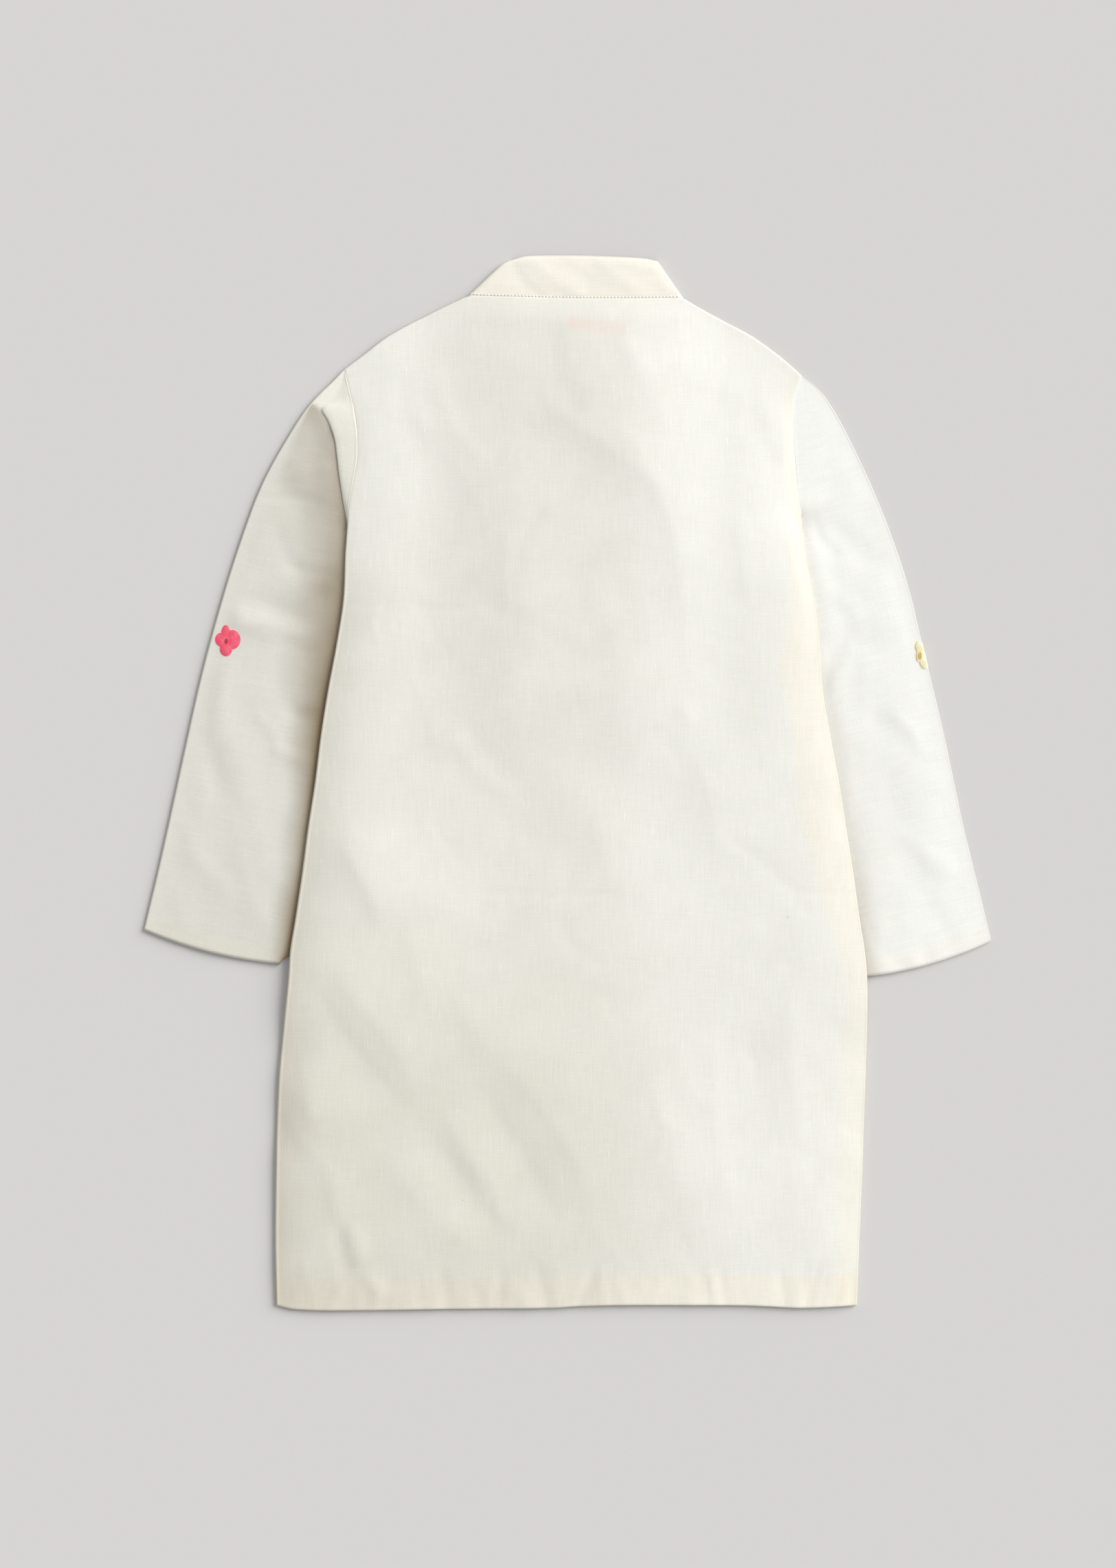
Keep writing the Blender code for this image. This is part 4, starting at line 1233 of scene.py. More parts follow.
# Where folds begin: start and run from the seam, then runs from the pleat, the body and the tip,
# and the start from the outer fold
PAST_SEAM = (2, 18)
PAST_PLEAT = 2
PAST_BODY = 9
PAST_TIP = 2.0
PAST_OUTER = 1.2
# Rows over which the seam ridge fades out at the underarm and in at the tip
RIDGE_FADE = (0.7, 0.4)


def sleeve_height(grid):
    """What folds, seam ridge, puckers and the cuff's edge add to the sleeve's plain form."""
    side, x, y = grid.side, grid.x, grid.y
    folds = fold_height(x, y, SLEEVE_FOLDS[side])
    folds += fold_height(x, y, SLEEVE_CREASES[side])
    folds += SLEEVE_UNEVEN * uneven(x, y, size=34, seed=CREASE_SEEDS[side])
    low, high = (x.min(), -120), (x.max(), 240)
    folds += SLEEVE_SMALL * small_creases(x, y, low, high, count=46, seed=41)
    folds += SLEEVE_LOFT[side] * domed(grid.from_outer, LOFT_RUN)
    past_seam = ease((grid.from_seam - PAST_SEAM[0]) / PAST_SEAM[1])
    if side == "left":
        past_seam = ease((grid.number - BAND_STEPS) / PAST_PLEAT)[None]
    folds *= mix(past_seam, ease(grid.beside / PAST_BODY), grid.below)
    rise = SLEEVE_RISE[side] * bell(grid.clear, SLEEVE_RISE_RUN) * grid.below
    outer_fade = ease((grid.from_outer - PAST_OUTER) / OUTER_FADE)
    height = (folds * outer_fade + rise) * grid.upper * ease(grid.row / PAST_TIP)
    ridge = SEAM_RIDGE[side] * bell(grid.from_seam - SEAM_RIDGE_AT, SEAM_RIDGE_WIDTH)
    height += ridge * ease((ARMHOLE_ROWS - grid.row) / RIDGE_FADE[0]) * ease(grid.row / RIDGE_FADE[1])
    puckers = hem_puckers(grid.from_seam, grid.from_cuff, reach=14, seed=CUFF_SEEDS[side], size=0.25)
    height += puckers * grid.upper * outer_fade
    return height - rolled(grid.from_cuff, *CUFF_ROLL) * grid.upper


def pleat_x(y):
    """The pleat's edge at a height on the plan."""
    line = Route(PLEAT_EDGE).line[::-1]
    return np.interp(y, line[:, 1], line[:, 0])


# Painted shade on the rim of the right sleeve's outer fold, which faces the light: how far it reaches and the
# run over which it fades
RIM = (1.8, 1.1)
# Blur of the pleat's mask low down and high up, and where it changes: start and run
PLEAT_BLUR = (0.8, 7.0)
BLUR_CHANGE = (224, 20)
PLEAT_END = 0.5


def fold_mask(grid):
    """For the left sleeve its pleat; for the right sleeve the rim of its outer fold, where a darker tone is
    painted as shade so the rim that faces the light does not shine.
    """
    if grid.side == "right":
        return ease((RIM[0] - grid.from_outer) / RIM[1])
    blur = mix(*PLEAT_BLUR, ease((grid.y - BLUR_CHANGE[0]) / BLUR_CHANGE[1]))
    inside = ease((grid.x - pleat_x(grid.y)) / blur + 0.5)
    return inside * grid.upper * ease((ARMHOLE_ROWS - grid.row) / PLEAT_END)


def make_sleeve(side):
    grid = SleeveGrid(side)
    points = grid.points.copy()
    notch = ease(1 - grid.from_cuff / CUFF_NOTCH_HEIGHT) * bell(grid.clear, CUFF_NOTCH_WIDTH)
    points[..., 0] -= grid.turn * CUFF_NOTCH[side] * notch
    points[..., 2] += sleeve_height(grid)
    # The fold mask gives the left pleat its lighter tone and paints shade on the right fold's rim; the shade
    # mask paints shade beside the body and along the pleat
    fold = fold_mask(grid)
    shade = sleeve_shade(grid) * grid.upper * (1 - fold)
    edges = np.stack((np.full_like(grid.x, FAR), grid.from_cuff), -1)
    grain = grain_of(grid.x, grid.y, SLEEVE_LEAN[side])
    name = "sleeve_" + side
    sleeve = grid_object(name + "_cloth", points, grain, edges, weld=True, shade=shade, doubled=fold)
    thicken(sleeve, CLOTH)
    tones = (SLEEVE_TONE[side], FOLD_TONE[side], SLEEVE_PAINTED_SHADE)
    wear(sleeve, cloth_material(name + " cloth", *tones, hem=CUFF_BAND, across=True), name)
    area_of(points)
    return sleeve


# Painted shade on each sleeve beside the body, where the body's raised edge shades it
SHADE_BESIDE = {
    "left": table(
        "y width strength",
        (-117, 13, 1.15), (-95, 14, 1.05), (-50, 13, 0.80), (-5, 18, 1.0), (40, 20, 1.05), (75, 30, 0.95),
        (107, 38, 0.85), (152, 40, 0.70), (172, 40, 0.62),
    ),
    "right": table(
        "y width strength",
        (-126, 12, 0.50), (-95, 13, 0.42), (-50, 15, 0.28), (17, 15, 0.26), (63, 12, 0.22), (108, 12, 0.13),
        (172, 9, 0.08),
    ),
}
# Painted shade along the pleat's edge, and how far it reaches
PLEAT_SHADE = table("y strength", (150, 0.74), (170, 0.70), (205, 0.56), (236, 0.46), (252, 0.25))
PLEAT_SHADE_WIDTH = 42.0
PLEAT_SHADE_CURVE = 1.3
# How the painted shade beside the body falls off: its uneven width, its reach and its curve
BESIDE_UNEVEN = 0.14
BESIDE_REACH = 1.25
BESIDE_CURVE = 1.35
# Soft patches of painted shade: centre, half sizes and strength
SHADE_PATCHES = {
    "left": ((-168, 244, 6, 7, 0.14), (-184, 196, 22, 34, 0.10), (-160, 128, 9, 9, 0.15),
             (-170, 90, 9, 6, 0.14), (-172, 46, 7, 7, 0.14), (-186, 206, 9, 7, 0.06),
             (-214, 100, 22, 5, 0.05), (-225, -95, 44, 50, 0.05)),
    "right": ((157, 173, 7, 8, 0.14), (177, 75, 7, 14, 0.06), (200, -30, 26, 90, 0.06)),
}


def pleat_shade(x, y):
    """Painted warm shade on the sleeve along the pleat's edge, deeper lower down."""
    nearest = np.full(x.shape, FAR)
    for place in Route(PLEAT_EDGE).line[::4]:
        nearest = np.minimum(nearest, np.hypot(x - place[0], y - place[1]))
    outside = ease(pleat_x(y) - x + 0.5)
    near = np.clip(1 - nearest / PLEAT_SHADE_WIDTH, 0, 1)
    return np.interp(y, PLEAT_SHADE["y"], PLEAT_SHADE["strength"]) * near ** PLEAT_SHADE_CURVE * outside


def sleeve_shade(grid):
    """Strength of the painted warm shade where a sleeve goes in under the body or a fold."""
    x, y = grid.x, grid.y
    band = SHADE_BESIDE[grid.side]
    wander = 1 + BESIDE_UNEVEN * uneven(y, y * 0.2, size=60, seed=61)
    width = np.interp(y, band["y"], band["width"]) * wander
    strength = np.interp(y, band["y"], band["strength"])
    near = np.clip(1 - grid.clear / (BESIDE_REACH * width), 0, 1)
    shade = strength * near ** BESIDE_CURVE * ease(grid.row - ARMHOLE_ROWS + 0.6)
    if grid.side == "left":
        shade = np.maximum(shade, pleat_shade(x, y))
    for centre_x, centre_y, half_x, half_y, depth in SHADE_PATCHES[grid.side]:
        shade += depth * bell(np.hypot((x - centre_x) / half_x, (y - centre_y) / half_y), 1)
    return np.clip(shade, 0, 1)


# Collar

COLLAR_ROUNDING = {"left": 10.0, "right": 2.0}
COLLAR_OVERLAP = 0.1
COLLAR_STEPS = (1.6, 1.9)
COLLAR_ROWS = (0.3, 0.7, 1.1, 1.5, 1.9, 2.4)
COLLAR_ROLL = (0.5, 1.2)
COLLAR_PILLOW = 0.35
# How the front ends turn up, how the top edge bows, and rows of the cage
SLANT_CURVE = 1.2
COLLAR_BOW = 0.5
COLLAR_LEVELS = 4
# Row of stitches above the seam, and the groove that it and the seam draw in
STITCH_ROW = 1.5
STITCH_GROOVE = 0.16


def collar_seam(neck):
    """The collar's lower edge, a little past the neck's seam and in from its ends."""
    line = shifted(neck, -COLLAR_OVERLAP)
    line[0, 0] += COLLAR_INSET
    line[-1, 0] -= COLLAR_INSET
    return line


def collar_cage():
    """Rows of the band from its seam up, and the column where its back half begins.

    Its columns run from the left front end round the back to the right front end.
    """
    below = collar_seam(front_neck(NECK_STEPS))
    behind = collar_seam(back_neck(NECK_STEPS))
    middle = NECK_STEPS // 2

    def arm(side, index):
        part = index / middle if side == "left" else (NECK_STEPS - index) / middle
        seam = below[index]
        swing = mix(COLLAR_SLANT_ANGLE[side], 90.0, ease(part) ** SLANT_CURVE)
        slant = math.dist(behind[0 if side == "left" else -1], COLLAR_TOP[side])
        width = mix(slant, COLLAR_HEIGHT, ease(part))
        turn = math.radians(swing)
        top = (seam[0] + width * math.cos(turn), seam[1] + width * math.sin(turn))
        return seam, top, float(front_height(*seam))

    def turned(side):
        end = 0 if side == "left" else -1
        way = -1 if side == "left" else 1
        seam, top = behind[end], COLLAR_TOP[side]
        run = math.dist(seam, top)
        out = (way * (top[1] - seam[1]) / run * HALF_LAYER, -way * (top[0] - seam[0]) / run * HALF_LAYER)
        return (seam[0] + out[0], seam[1] + out[1]), (top[0] + out[0], top[1] + out[1]), (LOW + HIGH) / 2

    arms = {}
    for side, way in (("left", -1), ("right", 1)):
        order = range(middle, -1, -1) if side == "left" else range(middle, NECK_STEPS + 1)
        arms[side] = [arm(side, index) for index in order]
        seam, top, height = arms[side][0]
        gap = way * GAP / 2
        arms[side][0] = ((seam[0] + gap, seam[1]), (top[0] + gap, top[1]), height)
    back = []
    for i, seam in enumerate(behind):
        t = i / NECK_STEPS
        x, y = mix(np.array(COLLAR_TOP["left"]), np.array(COLLAR_TOP["right"]), t)
        y += COLLAR_CURVE * math.sin(math.pi * t) ** COLLAR_BOW
        back.append((seam, (x, y), HIGH + float(back_rise(*seam))))
    ring = arms["left"] + [turned("left")] + back + [turned("right")] + arms["right"][::-1]
    rows = []
    for v in np.linspace(0, 1, COLLAR_LEVELS):
        rows.append([(*mix(np.array(seam), np.array(top), v), height) for seam, top, height in ring])
    return np.array(rows), len(arms["left"])


def rounded_corner(points, side):
    """Rounds the top corner of the flat band, where a slant meets the top edge."""
    corner = np.array(COLLAR_TOP[side])
    other = np.array(COLLAR_TOP["right" if side == "left" else "left"])
    foot = NECK_LEFT if side == "left" else NECK_RIGHT
    along = (other - corner) / np.linalg.norm(other - corner)
    down = (foot - corner) / np.linalg.norm(foot - corner)
    radius = COLLAR_ROUNDING[side]
    offset = points[..., :2] - corner
    base = np.array((along, down)).T
    place = offset @ np.linalg.inv(base).T
    a, b = (np.clip(1 - place[..., k] / radius, 0, 1) for k in (0, 1))
    curved_a, curved_b = a * np.sqrt(1 - b ** 2 / 2), b * np.sqrt(1 - a ** 2 / 2)
    move = np.stack(((a - curved_a) * radius, (b - curved_b) * radius), -1)
    points[..., :2] += move @ base.T
    return points


# The band's unevenness, the runs from its edges over which that and its pillow grow, and over
# which its ends turn
COLLAR_UNEVEN = 0.08
COLLAR_FADE = 3
COLLAR_PILLOW_RUNS = (12, 6)
COLLAR_END_RUN = 0.8


def make_collar():
    cage, first = collar_cage()
    last = first + NECK_STEPS + 2
    points, number, row = refined(cage, *COLLAR_STEPS, rows_at=COLLAR_ROWS)
    for side in SIDE_NAMES:
        points = rounded_corner(points, side)
    x, y = points[..., 0], points[..., 1]
    from_seam = running(points, axis=0)
    from_top = from_seam[-1:] - from_seam
    height = fold_height(x, y, COLLAR_CREASES) + COLLAR_UNEVEN * uneven(x, y, size=22, seed=71)
    height *= ease(from_seam / COLLAR_FADE) * ease(from_top / COLLAR_FADE)
    height += COLLAR_PILLOW * ease(from_seam / COLLAR_PILLOW_RUNS[0]) * ease(from_top / COLLAR_PILLOW_RUNS[1])
    height -= rolled(from_top, *COLLAR_ROLL)
    height -= STITCH_GROOVE * (bell(from_seam, 0.8) + bell(from_seam - STITCH_ROW, 0.6))
    on_back = ease((number - first) / COLLAR_END_RUN) * ease((last - 1 - number) / COLLAR_END_RUN)
    points[..., 2] += height * on_back[None]
    # Painted shade on the collar's top edge and right end, so these rims that face the light do not shine
    rim = np.maximum(ease(1 - from_top / RIM_WIDTH), ease(1 - abs(number - last) / RIM_WIDTH)[None])
    collar = grid_object("collar_cloth", points, grain_of(x, y, 90.0), shade=RIM_SHADE * rim)
    thicken(collar, DOUBLED_CLOTH)
    wear(collar, cloth_material("collar cloth", COLLAR_TONE), "collar")
    return collar


# Placket, label and buttons

STRIP_NECK_RUN = 30.0
LABEL_WALL = 0.35
LABEL_DROP = 0.15


def strip_points(width, top, length, lift):
    """A strip of the placket, whose top follows the neck's curve."""
    across = graded(width, 2.5) / width - 0.5
    down = graded(length, 3.0)[::-1]
    x = NECK_CENTRE + width * across[None] + 0 * down[:, None]
    from_centre = (x - NECK_CENTRE) / NECK_HALF
    neck_rise = NECK_DROP * (1 - (1 - from_centre ** 2) ** (NECK_CURVE / 2))
    y = PLACKET_TOP + top - down[:, None] + neck_rise * ease(1 - down[:, None] / STRIP_NECK_RUN)
    return np.stack((x, y, np.full_like(x, LOW + PLACKET_LIFT + lift)), -1)


def make_strip(name, width, top, length, lift):
    points = strip_points(width, top, length, lift)
    x, y = points[..., 0], points[..., 1]
    points[..., 2] += 0.06 * uneven(x, y, size=30, seed=81)
    strip = grid_object(name + "_cloth", points, grain_of(x, y))
    thicken(strip, DOUBLED_CLOTH)
    wear(strip, cloth_material(name + " cloth", COLLAR_TONE), name)
    return strip


def make_label():
    """The blank tape inside the back of the neck, under the back."""
    low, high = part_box("neck_label")
    height = (low + high).z / 2 / MM - LABEL_DROP
    across = np.linspace(-0.5, 0.5, 17) * LABEL_SIZE[0]
    down = np.linspace(-0.5, 0.5, 7) * LABEL_SIZE[1]
    x, y = np.meshgrid(LABEL_CENTRE[0] + across, LABEL_CENTRE[1] + down)
    points = np.stack((x, y, np.full_like(x, height)), -1)
    label = grid_object("neck_label_tape", points, grain_of(x, y, 90.0))
    thicken(label, LABEL_WALL)
    wear(label, cloth_material("label tape", LABEL_PINK), "neck_label")
    plan_area(points)


# The button's section from its middle, by radius and height, its face down
BUTTON_RADIUS = BUTTON_DIAMETER / 2
BUTTON_PROFILE = (
    (0.0, 0.45),
    (2.6, 0.45),
    (3.2, 0.30),
    (3.9, 0.05),
    (4.6, 0.0),
    (5.1, 0.12),
    (BUTTON_RADIUS, 0.55),
    (BUTTON_RADIUS, 1.0),
    (5.1, 1.45),
    (4.4, BUTTON_THICKNESS),
    (0.0, BUTTON_THICKNESS),
)
HOLE_CIRCLE = 1.35
HOLE_RADIUS = 0.62
HOLES = 4
BUTTONS = 4


def make_button(number):
    """A dished four-hole button, its face down on the surface."""
    name = f"button_{number}"
    low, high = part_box(name)
    centre = (low + high) / 2
    shape = bmesh.new()
    chain = [shape.verts.new((r * MM, 0, (z - BUTTON_THICKNESS / 2) * MM)) for r, z in BUTTON_PROFILE]
    links = [shape.edges.new(pair) for pair in zip(chain, chain[1:])]
    bmesh.ops.spin(shape, geom=chain + links, cent=(0, 0, 0), axis=(0, 0, 1), angle=2 * math.pi,
                   steps=40, use_merge=True)
    bmesh.ops.remove_doubles(shape, verts=shape.verts, dist=WELD)
    bmesh.ops.recalc_face_normals(shape, faces=shape.faces)
    button = placed(name + "_shell", mesh_of(shape, name + "_shell"))
    button.location = centre
    angles = [math.pi / 4 + 2 * math.pi * k / HOLES for k in range(HOLES)]
    holes = [Vector((math.cos(angle), math.sin(angle), 0)) * HOLE_CIRCLE * MM for angle in angles]
    cutter = drill(holes, HOLE_RADIUS)
    cutter.location = centre
    bpy.context.view_layer.update()
    cut = button.modifiers.new("Thread holes", "BOOLEAN")
    cut.operation = "DIFFERENCE"
    cut.object = cutter
    make_final(button)
    bpy.data.objects.remove(cutter)
    button.data.set_sharp_from_angle(angle=math.radians(50))
    wear(button, shell_material(), name)
    sew_button(number, centre, holes)


def drill(places, radius):
    """Round pins that a modifier cuts out of a button."""
    shape = bmesh.new()
    for place in places:
        made = bmesh.ops.create_cone(shape, cap_ends=True, segments=14, radius1=radius * MM,
                                     radius2=radius * MM, depth=6 * MM)
        bmesh.ops.translate(shape, verts=made["verts"], vec=place)
    return placed("thread_holes", mesh_of(shape, "thread_holes"))


# Threads of a button: places side by side, reach through to the placket, depth across the face, and thickness
BAR_THREADS = (-0.2, 0.0, 0.2)
BAR_REACH = 1.6
BAR_DEPTH = 0.55
BAR_RADIUS = 0.16


def sew_button(number, centre, holes):
    """Two bars of thread across the holes on the face, and through to the placket."""
    up, down = Vector((0, 0, BAR_REACH * MM)), Vector((0, 0, -BAR_DEPTH * MM))
    paths = []
    for start, end in (holes[:2], holes[2:]):
        across = Vector(((end - start).y, -(end - start).x, 0)).normalized() * MM
        for side in BAR_THREADS:
            a, b = start + across * side, end + across * side
            points = (a + up, a, a + down * 0.7, mix(a, b, 0.5) + down, b + down * 0.7, b, b + up)
            paths.append([centre + point for point in points])
    thread_object(f"button_{number}_thread", paths, BAR_RADIUS, thread_material("button thread", THREAD))


def thread_object(name, paths, radius, material, end_share=1.0):
    """Threads along paths in metres, as round tubes with filled ends that may taper."""
    tubes = bpy.data.curves.new(name, "CURVE")
    tubes.dimensions = "3D"
    tubes.bevel_depth = radius * MM
    tubes.bevel_resolution = 1
    tubes.use_fill_caps = True
    for path in paths:
        spline = tubes.splines.new("POLY")
        spline.points.add(len(path) - 1)
        for point, place in zip(spline.points, path):
            point.co = (*place, 1)
        spline.points[0].radius = spline.points[-1].radius = end_share
    tubes.materials.append(material)
    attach(placed(name, tubes), "root")


# Sewing

STITCH = 2.25
STITCH_SHARE = 0.74
STITCH_RADIUS = 0.34
STITCH_END_SHARE = 0.45
STITCH_POINTS = 4
# How deep a stitch lies in the cloth, and how much deeper its ends go
STITCH_SINK = {"collar": -0.14, "placket": 0.05}
STITCH_BURY = 0.2
# Rows of stitches on the placket: in from its sides and top, up from its foot, and between the two lower rows
PLACKET_ROW_INSET = 2.0
PLACKET_FOOT_INSET = 2.5
PLACKET_BOX = 14.0


RAY_START = 50.0


def surface_height(thing):
    """A function that gives the top or underside of a piece at a place on the plan, in mm."""
    shape = bmesh.new()
    shape.from_mesh(thing.data)
    tree = BVHTree.FromBMesh(shape)
    shape.free()

    def height(x, y, top=True):
        start = Vector((x, y, RAY_START if top else -RAY_START)) * MM
        hit = tree.ray_cast(start, Vector((0, 0, -1 if top else 1)))
        return None if hit[0] is None else hit[0].z / MM

    return height


def stitched(name, line, height, sink, top=True):
    """A row of stitches along a line on the plan, lying on the cloth."""
    route = Route(line, steps=4)
    way = 1 if top else -1
    paths = []
    for number in range(int(route.length / STITCH)):
        start = (number + (1 - STITCH_SHARE) / 2) * STITCH
        path = []
        for x, y in route.points(start + np.linspace(0, STITCH_SHARE * STITCH, STITCH_POINTS)):
            z = height(x, y, top)
            if z is None:
                break
            bury = STITCH_BURY if len(path) in (0, STITCH_POINTS - 1) else 0.0
            path.append(Vector((x, y, z - way * (sink + bury))) * MM)
        if len(path) == STITCH_POINTS:
            paths.append(path)
    thread_object(name, paths, STITCH_RADIUS, thread_material("sewing thread", THREAD), STITCH_END_SHARE)


# Embroidery

SATIN_PITCH = 0.33
SATIN_RISE = 0.5
ROSE_RADIUS = 0.22
FINE_RADIUS = 0.2
KNOT_RINGS = (0.35, 0.7, 1.0)
KNOT_RISE = 0.18
KNOT_POINTS = 18
SATIN_POINTS = 8
# How far a petal's outline and its height are round rather than square
PETAL_ROUND = 0.88
PETAL_SWELL_ROUND = 0.85
# Petals: offset of the middle, half width, half length and the way it points in degrees
ROSE_CENTRE = (-223.6, 92.7)
ROSE_PETALS = (
    (0.0, 5.4, 2.5, 5.0, 90),
    (0.2, -5.0, 3.7, 5.0, 270),
    (-2.5, 0.9, 4.3, 4.4, 180),
    (3.9, 0.9, 6.0, 5.7, 0),
)
STRAW_CENTRE = (231.3, 83.2)
STRAW_PETALS = (
    (-1.2, 5.4, 2.3, 4.2, 97),
    (-1.6, 0.4, 4.2, 1.7, 176),
    (1.6, -4.6, 2.3, 4.6, 286),
    (2.2, 0.6, 5.4, 3.4, 0),
    (5.2, 3.0, 3.6, 4.2, 30),
    (5.6, -2.2, 3.2, 4.0, 340),
)
# Hearts: offset of the middle, radius and how much taller than wide
ROSE_HEART = ((0.3, -0.2), 0.9, 1.9)
STRAW_HEART = ((-0.9, 0.0), 1.0, 2.6)


def petal_threads(centre, petals, place):
    """Satin stitches that fill each petal, laid side by side across its length."""
    paths = []
    for dx, dy, half_width, half_length, angle in petals:
        turn = math.radians(angle)
        along = np.array((math.cos(turn), math.sin(turn)))
        side = np.array((-along[1], along[0]))
        count = int(2 * half_width / SATIN_PITCH)
        for k in range(count + 1):
            t = 2 * k / count - 1
            reach = half_length * math.sqrt(1 - PETAL_ROUND * t * t)
            path = []
            for s in np.linspace(-1, 1, SATIN_POINTS):
                spot = np.array(centre) + (dx, dy) + along * s * reach + side * t * half_width
                swell = SATIN_RISE * math.sqrt(1 - s * s) * math.sqrt(1 - PETAL_SWELL_ROUND * t * t)
                path.append(place(spot[0], spot[1], swell))
            if all(point is not None for point in path):
                paths.append(path)
    return paths


def heart_threads(centre, heart, place):
    """Small knots wound round the middle of a flower."""
    offset, radius, tall = heart
    paths = []
    for ring, share in enumerate(KNOT_RINGS):
        path = []
        for k in range(KNOT_POINTS + 1):
            angle = 2 * math.pi * k / KNOT_POINTS + ring
            x = centre[0] + offset[0] + share * radius * math.cos(angle)
            y = centre[1] + offset[1] + tall * share * radius * math.sin(angle)
            path.append(place(x, y, SATIN_RISE + KNOT_RISE - 0.05 * ring))
        if all(point is not None for point in path):
            paths.append(path)
    return paths


# Materials

class Tree:
    """Short calls that place and join the nodes of one tree."""

    def __init__(self, tree):
        self.tree = tree

    def add(self, kind, inputs=None, **settings):
        node = self.tree.nodes.new(kind)
        for name, value in settings.items():
            setattr(node, name, value)
        self.fill(node, inputs or {})
        return node

    def fill(self, node, inputs):
        for name, value in inputs.items():
            self.put(node.inputs[name], value)

    def put(self, socket, value):
        if isinstance(value, bpy.types.NodeSocket):
            self.tree.links.new(value, socket)
        elif isinstance(value, tuple) and len(value) == 3 and socket.type == "RGBA":
            socket.default_value = (*value, 1)
        else:
            socket.default_value = value

    def math(self, operation, a, b=0.0, c=0.0, clamp=False):
        return self.add("ShaderNodeMath", {0: a, 1: b, 2: c}, operation=operation, use_clamp=clamp).outputs[0]

    def sum(self, first, values, shares):
        """The first value and each named value by its share."""
        for name, share in shares.items():
            first = self.math("ADD", first, self.math("MULTIPLY", values[name], share))
        return first

    def span(self, value, low, high, out_low=0.0, out_high=1.0):
        node = self.add("ShaderNodeMapRange", {0: value, 1: low, 2: high, 3: out_low, 4: out_high},
                        interpolation_type="SMOOTHSTEP")
        return node.outputs[0]

    def vector(self, operation, a, b=(0, 0, 0), scale=1.0):
        return self.add("ShaderNodeVectorMath", {0: a, 1: b, 3: scale}, operation=operation).outputs[0]

    def stretch(self, vector, x, y, z=0.0):
        return self.vector("ADD", self.vector("MULTIPLY", vector, (x, y, 1.0)), (0, 0, z))

    def split(self, vector):
        return self.add("ShaderNodeSeparateXYZ", {0: vector}).outputs

    def noise(self, vector, detail=2.0, roughness=0.5):
        inputs = {"Vector": vector, "Scale": 1.0, "Detail": detail, "Roughness": roughness}
        return self.add("ShaderNodeTexNoise", inputs).outputs[0]

    def mask(self, name):
        return self.add("ShaderNodeAttribute", attribute_name=name).outputs["Fac"]

    def blend(self, factor, a, b, kind="MIX"):
        node = self.add("ShaderNodeMix", {0: factor}, data_type="RGBA", blend_type=kind)
        self.fill(node, {6: a, 7: b})
        return node.outputs[2]


def new_finish(name):
    """A new material, with the calls for its nodes and its shader."""
    material = bpy.data.materials.new(name)
    material.use_nodes = True
    return material, Tree(material.node_tree), material.node_tree.nodes["Principled BSDF"]


THREAD_PITCH = 0.52
# Unevenness of the yarn: how fine it is across and along, its place in the noise, detail and roughness
YARN = {
    "warp streak": (1.5, 0.045, 0.0, 3.0, 0.6),
    "weft streak": (0.06, 1.5, 7.0, 3.0, 0.6),
    "warp slub": (1.15, 0.11, 3.0, 1.0, 0.5),
    "weft slub": (0.10, 1.2, 11.0, 1.0, 0.5),
    "warp band": (0.30, 0.03, 29.0, 3.0, 0.7),
    "mottle": (0.09, 0.05, 19.0, 5.0, 0.7),
    "patch": (0.11, 0.10, 23.0, 2.0, 0.5),
}
SLUB_SPAN = {"warp slub": (0.64, 0.80), "weft slub": (0.67, 0.82)}
# Share of each in the cloth's light and in its height
YARN_LIGHT = {"warp streak": 0.15, "warp band": 0.05, "weft streak": 0.12, "mottle": 0.05}
SLUB_LIGHT = {"warp slub": 0.07, "weft slub": 0.042}
WEAVE_LIGHT = 0.035
WEAVE_MEAN = 0.6
YARN_HEIGHT = {"weave": 0.30, "warp streak": 0.55, "weft streak": 0.40, "warp slub": 0.50, "weft slub": 0.35}
YARN_DRIFT = 1.4
# Depth of the yarn and of a thread's twist
YARN_DEPTH = 0.16 * MM
THREAD_DEPTH = 0.08 * MM
# Faint rosy and green clouds in the tone: tint, span of the noise and strength
CLOUD_TINTS = (((1.0, 0.975, 0.955), 0.52, 0.72, 0.55), ((0.98, 1.0, 0.965), 0.48, 0.30, 0.5))
LABEL_SHOWS = 0.26
# Creamier tone of the turned-up hems, and how softly it ends below and above its edge
HEM_STRENGTH = {"body": 0.8, "sleeve": 0.35}
HEM_BLUR = (2.5, 1.5)


